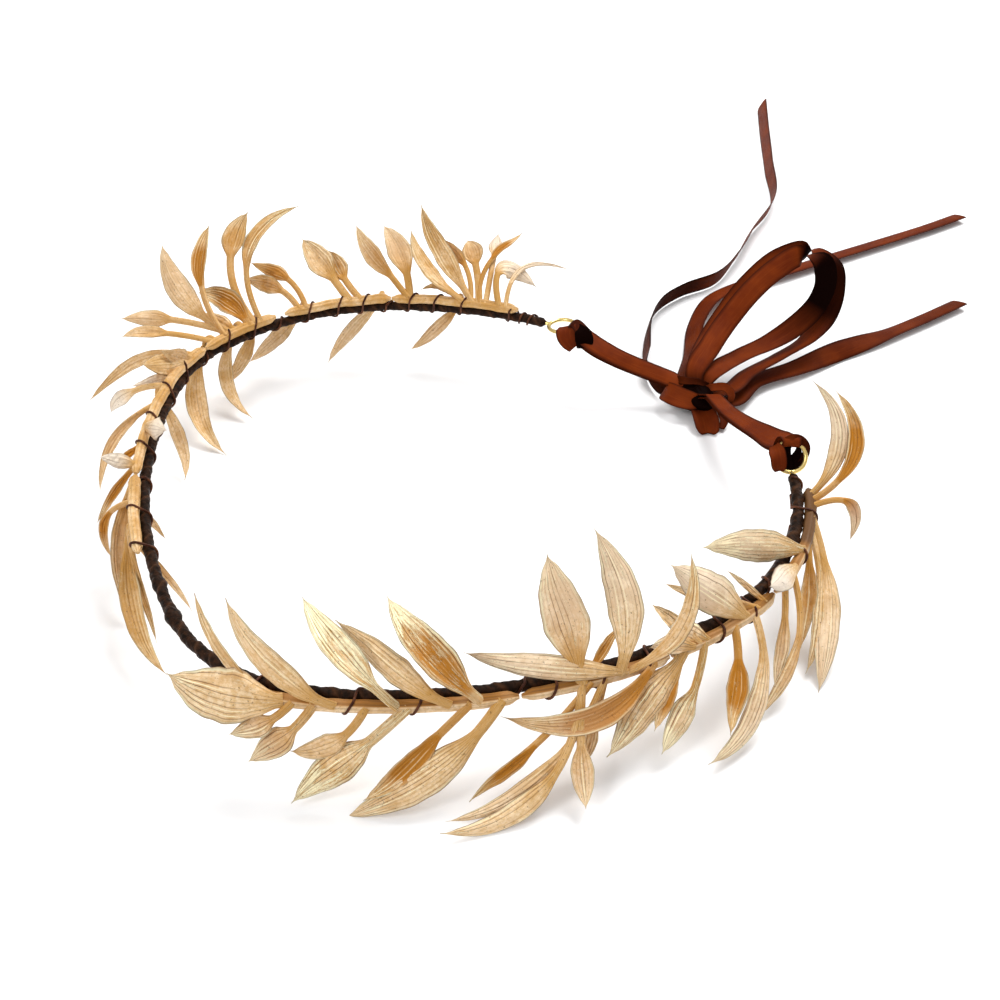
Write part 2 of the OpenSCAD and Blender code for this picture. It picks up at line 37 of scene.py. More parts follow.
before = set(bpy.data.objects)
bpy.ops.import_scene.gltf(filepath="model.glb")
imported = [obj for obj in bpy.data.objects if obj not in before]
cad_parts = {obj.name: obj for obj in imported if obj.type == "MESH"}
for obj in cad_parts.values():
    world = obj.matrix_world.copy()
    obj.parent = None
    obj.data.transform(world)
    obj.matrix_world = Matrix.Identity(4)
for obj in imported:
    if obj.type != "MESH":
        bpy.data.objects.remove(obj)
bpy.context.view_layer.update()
MM = 0.001

# The photograph's camera: azimuth from the front (-Y) and elevation in degrees, distance and
# target in mm, lens and sensor in mm. Then how far the floor reaches each way, in metres.
VIEW_AZ = 60.0
VIEW_EL = 37.0
VIEW_DISTANCE = 336.0
VIEW_TARGET = np.array([18.3, 2.6, 20.0])
LENS_MM = 50.4
SENSOR_MM = 36.0
FLOOR_REACH = 3.0


def azel(azimuth, elevation):
    """Unit vector at an azimuth from +X and an elevation, in degrees."""
    a, e = np.radians(azimuth), np.radians(elevation)
    return np.stack([np.cos(a) * np.cos(e), np.sin(a) * np.cos(e), np.sin(e) + 0 * a], -1)


# The side that a leaf with no roll faces, the way to its right and the way up beside it.
FACE = azel(VIEW_AZ - 90.0, VIEW_EL)
RIGHT = azel(VIEW_AZ, 0.0)
UP = np.cross(FACE, RIGHT)
UPWARD = np.array([0.0, 0.0, 1.0])

# Colour of the floor's faint clouds and of the sky, low and high. Lamps, in metres: name, width,
# and how far each hangs beyond the middle as the camera sees it, to the right and up.
FLOOR_CLOUD = (0.9, 0.9, 0.9, 1.0)
SKY_LOW = (0.55, 0.56, 0.58, 1.0)
SKY_HIGH = (1.0, 1.0, 1.0, 1.0)
LAMPS = [("key", 0.55, 0.45, 0.35, 0.9), ("side", 0.35, -0.5, -0.55, 0.7)]

# Hoop, as in the part: radius share and turn of each bend, from the left end.
HOOP_R = 80.0
HOOP_Z = 20.0
BENDS = np.array([(1.35, 20), (0.80, 52), (0.55, 36), (1.95, 35), (0.55, 56), (1.50, 40), (0.80, 59)])
START_OUT = 0.93
START_ANGLE = 130.6
START_TURN = 84.0
STEM_OUT = 2.95

# Length of the hoop's middle line in mm.
HOOP_RUN = float(np.sum(HOOP_R * BENDS[:, 0] * np.radians(BENDS[:, 1])))

# Angle above the hoop's outer side that the stems lie at: place along the hoop, angle.
STEM_RISE = np.array([(0.26, 105), (0.30, 80), (0.36, 60), (0.42, 45), (0.475, 30), (0.60, 0)])

# Leaf rows, as in the part: place along the hoop, reach along, out and up, stalk
# share, width, roll, cup, bow and lift.
AT, ALONG, OUT, RISE, STALK, WIDE, ROLL, CUP, BOW, LIFT = range(10)
LEAF_L = 35.0
LEAF_W = 8.0
STEM_D = 2.6
STALK_D = 1.3
FOOT_OUT = 0.35
BLADE = np.array([(0, .16), (.14, .62), (.36, 1), (.64, .82), (.86, .38), (1, .04)])

LEFT_END = [
    (0.035, -0.25, 0.20, 0.15, 0.35, 0.75, 15, -0.3, 1.5, 0),
    (0.030, -0.40, 0.45, 0.20, 0.10, 0.20, 0, 0, 0.7, 0),
    (0.050, -0.25, 0.45, 0.45, 0.55, 0.40, 40, 0.4, 0.35, 0),
    (0.045, 0.05, 0.45, 0.45, 0.70, 0.55, 0, -0.3, 0, 0),
    (0.050, 0.20, 0.30, 0.45, 0.60, 0.85, 0, 0.3, -0.1, 0),
    (0.056, 0.35, 0.25, 0.45, 0.50, 0.45, 30, 0.3, -0.3, 0),
    (0.055, 0.60, 0.40, 0.65, 0.15, 0.80, 20, 0.4, 0, 0),
    (0.060, 0.55, 0.15, 0.55, 0.15, 0.65, -30, -0.3, 0.15, 0),
    (0.065, 0.35, 0, 0.10, 0.10, 0.35, 30, -0.2, -0.4, 0),
    (0.100, 0.25, 0.40, 0.50, 0.30, 0.95, 0, 0.35, -0.15, 0),
    (0.101, 0.50, 0.35, 0.50, 0.30, 0.75, 25, 0.4, 0, 0),
    (0.065, 0.40, -0.20, -0.70, 0.10, 0.50, 15, 0.3, 0, -0.2)]
BACK = [
    (0.135, 0.20, 0.30, 0.35, 0.45, 0.80, 0, 0.3, 0.1, 0),
    (0.143, 0.30, 0.40, 0.45, 0.35, 1.0, 0, 0.35, 0, 0),
    (0.120, 0.50, -0.15, -0.85, 0.10, 0.55, 20, -0.3, -0.1, -0.2),
    (0.175, 0.50, 0.05, -0.70, 0.10, 0.60, 15, 0.3, 0, -0.2),
    (0.175, 0.30, 0.40, 0.30, 0.45, 0.55, 0, -0.3, -0.35, 0),
    (0.180, 0.30, 0.35, 0.20, 0.40, 0.70, 10, 0.3, -0.3, 0)]
BACK_LEFT = [
    (0.210, -0.65, 0.25, 0.80, 0.35, 0.65, 20, 0.4, 0.5, 0),
    (0.215, -0.35, 0.45, 0.75, 0.60, 0.90, 0, 0.3, 0.35, 0),
    (0.240, -0.40, 0.40, 0.75, 0.45, 0.75, 30, 0.5, 0.3, 0),
    (0.235, 0, 0.70, 0.60, 0.25, 0.95, 0, -0.3, 0.25, 0),
    (0.220, 0.15, 0.40, 0.25, 0.10, 0.90, 0, 0.5, -0.3, 0),
    (0.230, 0.10, 0.25, 0.15, 0.10, 0.60, 0, -0.3, 0, 0),
    (0.235, 0.50, 0.65, 0.15, 0.55, 0.65, 0, -0.4, -0.1, 0),
    (0.250, 0.35, 0.60, 0.10, 0.50, 0.55, -20, 0.3, -0.1, 0),
    (0.250, 0.50, -0.55, -0.95, 0.10, 0.80, 25, 0.35, -0.35, -0.2),
    (0.225, 0.25, -0.45, -0.90, 0.10, 0.55, 20, -0.3, -0.4, -0.2),
    (0.210, 0.35, 0, -0.80, 0.10, 0.55, 20, 0.3, 0.1, -0.15)]
LEFT = [
    (0.270, 0.55, 0.55, -0.40, 0.10, 0.45, 20, 0.3, -0.4, 0),
    (0.280, 0.45, 0, 0.30, 0.10, 0.80, 0, -0.3, 0, 0),
    (0.275, 0.30, -0.05, 0.30, 0.10, 0.65, 20, 0.3, 0, 0),
    (0.310, 0.10, 0.40, -0.20, 0.50, 0.50, 0, 0.4, -0.3, 0),
    (0.295, 0.20, 0.20, 0.05, 0.10, 0.40, 30, -0.3, 0, 0),
    (0.310, 0.35, -0.25, -0.95, 0.10, 0.50, 0, 0.3, 0.1, -0.2),
    (0.330, 0.65, 0.25, -0.50, 0.10, 0.35, 30, 0.4, -0.35, 0),
    (0.355, 0.25, -0.25, 0.20, 0.05, 0.80, 0, -0.4, 0, 0.6),
    (0.375, 0.15, 0.15, 0, 0.10, 0.25, 0, 0.3, 0, 0),
    (0.395, 0.05, 0.20, 0.20, 0.05, 0.50, 0, -0.2, 0, 0),
    (0.395, 0.10, 0.30, -0.60, 0.10, 0.30, 30, 0.3, -0.1, 0)]
LEFT_FRONT = [
    (0.430, 0, 0.20, -0.70, 0.30, 0.30, 20, 0.3, -0.6, 0),
    (0.410, 0.80, 0.05, -0.95, 0.10, 0.65, 30, 0.4, -0.20, 0),
    (0.420, 0.20, -0.20, -0.40, 0.10, 0.25, 0, 0.2, 0, -0.3),
    (0.451, 1.05, -0.05, -0.70, 0.10, 0.65, 20, 0.3, -0.2, -0.15),
    (0.460, 0.55, -0.05, -0.75, 0.10, 0.25, 0, 0.3, -0.1, -0.15),
    (0.455, 0.30, -0.30, -0.85, 0.10, 0.25, 0, 0.2, 0, -0.2)]
FRONT_LEFT = [
    (0.620, 0.60, 0.20, 0.25, 0.05, 1.5, 0, -0.35, 0.15, 0.1),
    (0.610, 0.50, -0.20, 0.45, 0.10, 0.45, 30, -0.3, 0.15, 0.2),
    (0.645, 0.65, -0.30, 0.50, 0.10, 0.90, 25, -0.35, 0.2, 0.25),
    (0.675, 0.55, -0.40, 0.50, 0.20, 0.85, -25, 0.35, 0.05, 0.25),
    (0.700, 0.60, -0.50, 0.30, 0.10, 0.85, 20, -0.35, 0.10, 0.35),
    (0.715, 0.50, -0.45, 0.50, 0.10, 1.0, -20, 0.4, 0.05, 0.25),
    (0.625, 0.35, 0.15, -0.30, 0.35, 0.65, 0, -0.3, 0.2, 0.05),
    (0.635, 0.40, 0.15, -0.60, 0.35, 0.80, 0, -0.35, 0.15, 0.05),
    (0.660, 0.45, 0.10, -0.50, 0.35, 0.65, 0, -0.3, 0.3, 0.05),
    (0.680, 0.70, 0.20, -0.90, 0.35, 1.0, 0, -0.35, 0.05, 0.05),
    (0.710, 0.65, 0.25, -0.85, 0.30, 0.70, 20, 0.5, 0, 0.05),
    (0.725, 1.0, 0.20, -0.95, 0.20, 1.0, 0, -0.35, 0.2, 0.1)]
FRONT_RIGHT = [
    (0.765, 0.10, -0.45, 0.65, 0.15, 1.25, 0, 0.3, -0.05, 0.1),
    (0.789, 0.90, -0.42, 0.10, 0.05, 0.70, 0, -0.3, 0, 0.3),
    (0.765, -0.30, -0.20, 0.20, 0.30, 0.30, 0, 0.4, 0, 0.1),
    (0.805, 0.95, -0.15, -0.25, 0.05, 0.75, 15, 0.4, 0.35, 0.25),
    (0.765, 0.15, 0.50, -0.85, 0.50, 0.65, 0, -0.3, -0.05, 0),
    (0.776, 0.20, 0.25, -0.70, 0.50, 0.35, 0, 0.3, 0, -0.1),
    (0.770, 0.85, 0.20, -0.80, 0.50, 0.45, 30, 0.5, 0.1, 0),
    (0.777, 1.10, 0.30, -0.90, 0.35, 0.45, 0, -0.3, 0.25, 0),
    (0.765, 1.0, 0.40, -0.95, 0.40, 0.60, 0, -0.4, 0.4, 0),
    (0.785, 0, -0.45, 0.75, 0.10, 1.0, 0, -0.35, -0.25, 0.2),
    (0.790, -0.45, -0.15, 0.65, 0.10, 0.55, 30, -0.3, -0.35, 0.2)]
RIGHT_SIDE = [
    (0.864, 0.30, -0.40, 0.35, 0.05, 1.15, 0, -0.35, 0, 0.3),
    (0.874, 0.35, -0.50, 0.10, 0.05, 0.40, 0, 0.2, 0, 0.3),
    (0.832, 0.10, -0.35, 0.10, 0.05, 0.45, 0, 0.4, 0, 0.3),
    (0.828, 0.30, -0.05, 0.10, 0.05, 0.55, 0, -0.3, -0.1, 0.35),
    (0.837, 0.20, -0.15, 0.10, 0.05, 0.55, 0, -0.3, -0.1, 0.25),
    (0.880, 0, -0.30, 0.10, 0.05, 0.20, 0, 0, 0, 0.3),
    (0.822, 0.65, 0.20, -0.70, 0.10, 1.2, 20, -0.35, 0.05, 0.1),
    (0.820, 0.30, 0.20, -0.60, 0.20, 0.50, 0, 0.5, 0, 0),
    (0.835, 0.50, 0.25, -0.80, 0.40, 0.70, 15, -0.3, 0.15, 0),
    (0.855, 0.40, 0.35, -0.70, 0.30, 0.65, 0, 0.5, 0.15, 0),
    (0.870, 0.80, 0.35, -0.95, 0.20, 0.70, 20, -0.3, 0.35, 0)]
RIGHT_END = [
    (0.930, 0.40, -0.60, 0.15, 0.05, 1.0, 0, -0.3, -0.05, 0.45),
    (0.915, 0.45, 0, 0.15, 0.05, 0.75, 0, -0.3, 0, 0.1),
    (0.910, 0.80, 0.15, -0.90, 0.40, 0.45, 20, -0.3, 0.3, 0),
    (0.900, 0.50, 0.20, -0.80, 0.30, 0.40, 0, 0.4, 0.1, 0),
    (0.960, 1.10, 0.15, -0.95, 0.25, 0.85, 0, -0.35, 0.15, 0),
    (0.950, 0.85, 0.15, -0.90, 0.30, 0.45, 20, -0.3, 0.15, 0),
    (0.940, 0.55, 0.10, -0.80, 0.20, 0.50, 0, 0.4, 0.1, 0),
    (0.980, -0.50, 0, 0.65, 0.30, 0.60, 0, -0.3, -0.45, 0.05),
    (0.975, -0.60, 0.15, 0.55, 0.35, 0.55, 0, 0.5, -0.50, 0.05),
    (0.970, 0.10, 0.30, -0.35, 0.50, 0.40, 0, 0.3, 1.0, 0)]

# Sprigs: node, where the stem starts and ends along the hoop, its leaves, and the finish of the
# leaves that stand out: row, amber hollow, gold foil with its painted highlights, and paleness. A
# fifth value is the leaf's stalk share in place of the row's.
SPRIGS = [
    ("left_end_sprig", 0.022, 0.112, LEFT_END,
     [(0, 0, .1, .6), (1, 0, 0, .5), (2, 1, .2, 0), (3, 0, .1, .7), (6, .1, .3, 0), (8, .5, .2, 0)]),
    ("back_sprig", 0.115, 0.19, BACK,
     [(0, .3, .3, 0), (1, .1, .3, .1), (4, .6, .2, 0), (5, .4, .3, 0)]),
    ("back_left_sprig", 0.2, 0.258, BACK_LEFT,
     [(0, .2, .5, 0), (1, .3, .3, 0), (2, .9, .3, 0), (4, .9, .4, 0), (5, .3, .2, 0), (6, .1, .2, .2)]),
    ("left_sprig", 0.262, 0.402, LEFT,
     [(3, 0, .1, .8), (4, 0, .1, .7), (7, 0, .1, .7), (8, .9, .3, 0), (9, 0, .1, .8), (10, .9, .2, 0)]),
    ("left_front_sprig", 0.407, 0.475, LEFT_FRONT,
     [(0, .8, .2, 0), (1, .4, .3, .1), (3, .15, .25, 0), (4, .2, .3, 0)]),
    ("front_left_sprig", 0.732, 0.6, FRONT_LEFT,
     [(0, 0, .35, .1), (1, 0, .3, .1), (2, 0, .35, .1), (3, 0, .95, 0), (4, 0, .3, .1), (5, .7, .7, 0),
      (8, .1, .2, .1), (9, 0, .7, 0), (10, 1, .3, 0), (11, 0, .35, .1)]),
    ("front_right_sprig", 0.812, 0.736, FRONT_RIGHT,
     [(0, .2, .4, .3), (1, 0, .4, .35), (2, .6, .3, 0), (3, 1, .3, .1), (6, 1, .3, 0), (7, 0, .3, .2),
      (8, 0, .3, .1), (9, 0, .4, .35)]),
    ("right_sprig", 0.887, 0.816, RIGHT_SIDE,
     [(0, 0, .4, .5), (3, .1, .5, .35), (4, .1, .5, .35), (6, .1, .5, .1), (7, 1, .2, 0), (8, 0, .7, .2),
      (9, 1, .3, 0), (10, .1, .4, .3)]),
    ("right_end_sprig", 0.985, 0.892, RIGHT_END,
     [(0, 0, .7, .3), (1, 0, .2, .8), (4, 0, .3, .3), (6, .5, .3, 0), (7, 0, .4, .4, .08),
      (8, 1, .3, 0, .22), (9, .7, .3, .3, .35)]),
]

# Finish of the other leaves: highest amber and paleness, and the least and most gold foil, with
# its painted highlights, on the left half's sprigs and on the right half's.
PLAIN_AMBER = 0.4
PLAIN_PALE = 0.2
PLAIN_FOIL = [(0.0, 0.14), (0.2, 0.5)]
FIRST_RIGHT_SPRIG = 5

# Turns of the binding wire along the hoop, and the two runs that it is wound in.
TURNS = [0.012, 0.018, 0.024, 0.060, 0.080, 0.098, 0.115, 0.132, 0.150, 0.172, 0.195, 0.215, 0.238,
         0.260, 0.285, 0.312, 0.345, 0.375, 0.405, 0.437, 0.470, 0.602, 0.652, 0.684, 0.735, 0.750,
         0.775, 0.800, 0.845, 0.868, 0.890, 0.925, 0.960, 0.990]
WIRE_RUNS = [(0.008, 0.478), (0.594, 0.994)]

# Lumps of doubled tape: place along the hoop, height and half length in mm.
TAPE_LUMPS = [
    (.0916, .22, 2), (.2328, .25, 3), (.300, .25, 3), (.503, .35, 1.6), (.5316, .5, 2.2), (.575, .2, 2),
    (.636, .35, 3), (.8397, .25, 3), (.935, .45, 3), (.955, .25, 1.5), (.975, .3, 1.2)]

# Ribbon routes, close to the part's: the middle, then the azimuth and elevation of the width.
LEFT_STRAND = [
    (-40.5, 62.5, 19.5, 115, 10), (-36, 63.5, 18, 120, 15), (-30.5, 68.5, 14.5, 122, 22),
    (-26, 75, 11, 120, 32), (-20.5, 81.5, 8.2, 120, 25)]
RIGHT_STRAND = [
    (39, 73.5, 24.8, 80, 28), (34, 74, 22.1, 86, 28), (26, 75.5, 19.5, 84, 22),
    (16.5, 78, 16, 80, 12), (6.5, 81, 12.6, 78, 0), (-6.5, 86, 8.8, 75, -10)]
UPPER_LOOP = [
    (-18, 88, 9, 50, 0), (-22.5, 96.5, 14, 50, -10), (-26, 105.5, 19, 50, -10),
    (-27, 113.5, 25, 50, -10), (-27, 122, 30, 55, -10), (-25.5, 130, 33, 60, -10),
    (-21, 134, 31.5, 60, -10), (-19.5, 135, 26, 60, 0), (-19, 132.5, 19.5, 60, 0),
    (-19, 125, 14, 50, 0), (-20, 117, 10.5, 30, 0), (-20.5, 107, 8.8, 10, 0),
    (-15, 90.5, 8.4, 0, 0)]
LOWER_LOOP = [
    (-11.5, 93.8, 5, 0, 10), (-15.5, 106, 5.5, 0, 15), (-16.5, 118, 7, 10, 20),
    (-17, 129.5, 10, 30, 20), (-18.5, 136.5, 15, 50, 10), (-20.5, 140, 21, 60, 0),
    (-23.5, 141, 27, 60, -10), (-30.5, 139, 30, 60, -10), (-35, 130.5, 27.8, 55, -10),
    (-36, 121, 22, 50, -10), (-34.5, 111.5, 15, 50, -10), (-30.5, 102, 9.5, 50, -10),
    (-22, 92, 7, 50, 0)]
LEFT_TAIL = [
    (-21.8, 82.8, 4.2, 160, 40), (-32, 82.5, 3.8, 170, 60), (-42, 88.5, 3.5, 60, 72),
    (-54.5, 98, 3.5, 55, 75), (-65.5, 110.5, 3.5, 30, 75), (-69, 121.5, 3.5, 10, 72),
    (-70, 135, 3.5, 10, 74), (-79, 151, 3.8, 45, 68), (-92, 168, 3.8, 50, 64),
    (-106, 188, 3.5, 50, 75), (-133, 208, 3.4, 50, 68), (-160, 227.5, 3.3, 50, 64),
    (-183, 244.5, 3.3, 50, 62)]
MIDDLE_TAIL = [
    (-22, 88.5, 4, 60, 45), (-37, 101.5, 3.6, 50, 42), (-50, 113, 3.2, 40, 30),
    (-60.5, 127.5, 3, 25, 15), (-64, 144.5, 2.4, 5, 10), (-64.5, 163.5, 2, 0, 10),
    (-65, 182, 1.8, 0, 11), (-65.5, 208, 1.6, 0, 12), (-66, 226.5, 1.5, 0, 13),
    (-67, 242, 1.5, 0, 13)]
RIGHT_TAIL = [
    (-9.5, 93, 3, 0, 0), (-14.5, 107.5, 2.6, 5, 0), (-14.5, 123.5, 2.4, 0, -8),
    (-15.5, 141, 2.5, 0, -34), (-16, 150.5, 2.2, 0, -18), (-17, 162.5, 1.7, 5, 8),
    (-18.5, 179, 1.5, 5, 13), (-20.5, 196, 1.5, 5, 14)]

# Painted shade of the ribbon along each piece, from the knot: share of its length, shade.
UPPER_SHADES = [(0, 0), (0.43, 0), (0.49, 1), (0.60, 1), (0.66, 0.5), (0.74, 0), (1, 0.1)]
LOWER_SHADES = [(0, 0.2), (0.30, 0.1), (0.37, 0.9), (0.48, 0.9), (0.52, 0.2), (0.8, 0), (1, 0.2)]
LEFT_SHADES = [(0, 0.9), (0.06, 0.8), (0.10, 0.4), (0.16, 0.8), (0.30, 0.8), (0.34, 0.3), (0.44, 0.25),
               (0.5, 0.1), (1, 0)]
MIDDLE_SHADES = [(0, 0.6), (0.1, 0.3), (0.3, 0.1), (0.6, 0.05), (1, 0.2)]
RIGHT_SHADES = [(0, 0.7), (0.12, 0.3), (0.3, 0.15), (0.5, 0.3), (0.7, 0.2), (1, 0.35)]

# The knot, the eyes' size, and each eye: end of the hoop, turn of the neck from the hoop's
# heading, tilt.
KNOT = np.array([-14.0, 86.0, 4.6])
KNOT_HALF = np.array([8.0, 6.0, 4.2])
EYE_D = 7.6
EYE_NECK = 1.2
LEFT_EYE = (0.0, 180.0, 5.0)
RIGHT_EYE = (1.0, 0.0, 50.0)

# Folds of the ribbon, seen from the photograph's camera. Each row is a point in mm to the right,
# up and near from a middle, a share of the ribbon's width, the angle of the width from the right
# in degrees, and a shade; after its rows each fold has how far it is crowned. First the knot's.
# The knot's shades are painted shade; folds with high ones are near-black ribbon in its hollows.
KNOT_FOLDS = [
    ([(-8.2, 3.4, -3.4, 0.5, 62, 0.6), (-9.2, 2.0, -0.8, 0.78, 66, 0.2), (-7.9, 0.9, 2.4, 0.92, 68, 0),
      (-4.5, -0.8, 4.4, 0.90, 68, 0), (-1.1, -1.6, 4.8, 0.76, 70, 0), (1.4, -1.3, 3.8, 0.48, 76, 0),
      (4.4, -1.0, 2.2, 0.22, 80, 0.2), (6.6, -0.9, 0.2, 0.12, 80, 0.6)], 0.5),
    ([(0.6, -2.2, 2.6, 0.80, 5, 0.9), (1.2, -4.4, 5.2, 1.0, 5, 0.15), (2.0, -7.2, 7.4, 1.1, 4, 0),
      (2.3, -9.6, 8.2, 1.0, 2, 0.05), (2.3, -11.0, 8.6, 0.75, 0, 0.2), (2.3, -11.4, 8.2, 0.5, 0, 0.6)], 0.9),
    ([(5.6, -3.0, 2.2, 0.3, 10, 0.9), (7.0, -5.2, 4.2, 0.42, 8, 0.5), (7.2, -7.6, 5.6, 0.36, 5, 0.45),
      (6.4, -9.4, 7.0, 0.25, 0, 0.6)], 0.3),
    ([(2.4, 2.0, 1.0, 0.3, 85, 0.7), (4.9, 2.5, 2.4, 0.36, 85, 0), (8.0, 2.4, 2.6, 0.38, 70, 0),
      (9.9, 0.4, 1.6, 0.36, 25, 0), (9.8, -1.6, 0.2, 0.3, 5, 0.4)], 0.2),
    ([(-6.6, 5.2, -2.0, 0.4, 80, 0.9), (-3.4, 4.4, 1.6, 0.34, 80, 0.55), (0.6, 4.0, 2.0, 0.3, 85, 0.75),
      (3.6, 3.0, 0.6, 0.25, 80, 0.9)], 0.2),
]

# Over the left eye's wire, from the middle of its ring. The second fold is a near-black wedge of
# painted shade in the hollow of the fold.
LEFT_EYE_FOLDS = [
    ([(1.3, -0.2, 2.2, 0.82, 24, 0.1), (1.1, -1.4, 3.6, 0.92, 18, 0), (1.2, -3.3, 4.0, 0.92, 14, 0),
      (2.0, -5.1, 3.8, 0.78, 16, 0), (3.4, -6.6, 2.6, 0.56, 24, 0.3)], 0.3),
    ([(4.3, -0.1, 2.6, 0.30, 15, 1.0), (5.5, -2.3, 4.6, 0.70, 10, 1.0), (6.1, -4.6, 4.8, 0.80, 5, 1.0),
      (6.0, -6.9, 3.4, 0.62, 0, 1.0)], 0.2),
]

# Round the right eye's wire, from the middle of its ring. The rim darkens along into painted
# shade, the second and third folds are near-black strips of painted shade in the hollow round the
# wire, and the lobe has painted shade at its ends.
RIGHT_EYE_FOLDS = [
    ([(-1.4, 4.2, 0.9, 0.2, 75, 0.3), (0.6, 4.8, 0.9, 0.26, 88, 0.4), (2.6, 4.2, 0.4, 0.30, 50, 0.6),
      (3.9, 2.6, 0.0, 0.30, 15, 0.75), (3.8, 0.6, -0.4, 0.28, -15, 0.85), (2.8, -1.2, -0.8, 0.24, -38, 0.9),
      (1.2, -2.2, -1.0, 0.2, -50, 0.95)], 0.1),
    ([(-0.4, 3.9, 0.2, 0.3, 20, 1.0), (-1.0, 1.8, 0.2, 0.34, 5, 1.0), (-1.1, -0.6, 0.2, 0.42, 0, 1.0),
      (-0.9, -2.6, 0.2, 0.42, 0, 1.0), (-1.1, -3.7, 0.2, 0.3, 0, 1.0)], 0.1),
    ([(2.1, 2.6, -0.8, 0.12, 0, 1.0), (2.0, 0.9, -0.8, 0.34, -15, 1.0), (1.2, -1.0, -0.8, 0.5, -25, 1.0),
      (0.1, -2.9, -0.6, 0.45, -35, 1.0)], 0.1),
    ([(-4.3, 2.9, 0.9, 0.42, 45, 0.3), (-3.8, 1.5, 1.9, 0.62, 28, 0), (-3.4, -0.3, 2.3, 0.62, 8, 0),
      (-3.2, -1.9, 2.0, 0.60, 0, 0.05), (-3.0, -3.0, 1.4, 0.52, 0, 0.25),
      (-2.9, -3.7, 0.7, 0.34, 0, 0.6)], 0.45),
]

# Pieces of the ribbon. Strands: name, eye, route, folds at the eye, shade where the ribbon turns
# round the wire, and a cord's thickness in metres. Loops and tails: name, route, shades.
STRANDS = [("left_strand", LEFT_EYE, LEFT_STRAND, LEFT_EYE_FOLDS, 0.75, 0.005),
           ("right_strand", RIGHT_EYE, RIGHT_STRAND, RIGHT_EYE_FOLDS, 0.0, 0.006)]
LOOPS = [("upper_loop", UPPER_LOOP, UPPER_SHADES), ("lower_loop", LOWER_LOOP, LOWER_SHADES)]
TAILS = [("left_tail", LEFT_TAIL, LEFT_SHADES), ("middle_tail", MIDDLE_TAIL, MIDDLE_SHADES),
         ("right_tail", RIGHT_TAIL, RIGHT_SHADES)]
CORD_D = 0.006

# Hoop's look in mm: spacing of its rings, how far the tape is sunk, how it steps down and curls.
HOOP_STEP = 0.55
HOOP_SIDES = 24
TAPE_SUNK = 0.16
TAPE_STEP = 0.24
TAPE_CURL = 0.10

# Stems' look in mm: spacing of their rings, how far they reach past their ends as a share of the
# hoop, swelling at a leaf, the grooves and the finer lines: how many go round, and their depth,
# and how a stem wanders: how far, and through what angle over the whole hoop.
STEM_STEP = 0.7
STEM_SIDES = 36
STEM_REACH = 0.0013
STEM_SWELL = 0.10
STEM_GROOVES = (7, 0.07)
STEM_LINES = (11, 0.04)
STEM_SHAKES = [(0.06, 190), (0.03, 510)]

# Share of the hoop past which the right end's stem is stained by its tape.
STAINED_FROM = 0.925

# Leaves' look: points along and round, points from the hoop to the foot of a leaf behind it,
# degrees of twist, hook and curl of the tip as shares of the length, shares of the blade at which
# it has opened and over which its outline is evened, where its tip begins and what width it loses
# there, depth and half width of the midrib, waves of the edges and crinkles.
LEAF_POINTS = 44
LEAF_ROUND = 32
FOOT_POINTS = 10
TWIST = 22.0
HOOK = 0.05
CURL = 0.06
OPENED_AT = 0.22
BLADE_EVENED = 0.09
TIP_FROM = 0.87
TIP_LOSS = 0.93
MIDRIB_DEEP = 0.22
MIDRIB_WIDE = 0.09
EDGE_WAVE = 0.16
CRINKLE = 0.05

# Binding wire in mm: the tape's radius where it lies, spacing of its points, its sides, and the
# angle at which it runs between its turns.
WIRE_SEAT = 1.30
WIRE_SPACING = 0.2
WIRE_SIDES = 8
WIRE_REST = math.radians(200)

# Ribbon in mm: spacing of its points, also along the strands and the folds, half the gap between
# a strand's two layers, radius, points and half angle of its turn round the eye's wire, lowest
# point of a band and of a fold's middle, least and greatest share of a fold's width, share of a
# piece's width at the knot and the length over which it widens, and how far from the knot's middle
# the ends of the loops, tails and strands stand, as a share of the way to where they leave it.
RIBBON_SPACING = 0.9
STRAND_SPACING = 0.6
FOLD_SPACING = 0.25
LAYER_HALF = 0.55
TURN_R = 1.35
TURN_POINTS = 13
TURN_HALF = 75.0
RIBBON_LOW = 0.1
FOLD_LOW = 0.5
FOLD_SHARES = (0.05, 1.1)
WAIST = 0.72
WAIST_RUN = 10.0
IN_KNOT = 0.45
STRAND_IN_KNOT = 0.5

# A strand's width as a share of the ribbon's: least, what it gains, and how far from the turn it is
# widest; what it loses at the turn and over what length; how far the turn's shade reaches.
STRAND_WIDTH = (0.78, 0.22, 9.0)
PINCH = (0.12, 4.0)
TURN_SHADE = 4.5

# Crown of the loops and of the tails in mm: mean, how far it varies, and through what angle the
# sine runs from end to end. Then the painted shade of a loop next to the knot and how far it
# reaches.
LOOP_CROWN = (0.25, 0.2, 9)
TAIL_CROWN = (0.12, 0.1, 14)
KNOT_SHADE = 0.8
KNOT_SHADE_RUN = 7


# Shapes


def unit(v):
    """Vectors scaled to a length of one."""
    return v / np.maximum(np.linalg.norm(v, axis=-1, keepdims=True), 1e-9)


def stack(*values):
    """Marks of every point of every ring, from values of any shapes that fit each other."""
    return np.stack(np.broadcast_arrays(*values), -1)


def smooth(x):
    """Smooth step: 3x^2 - 2x^3 between 0 and 1."""
    x = np.clip(x, 0.0, 1.0)
    return x * x * (3.0 - 2.0 * x)


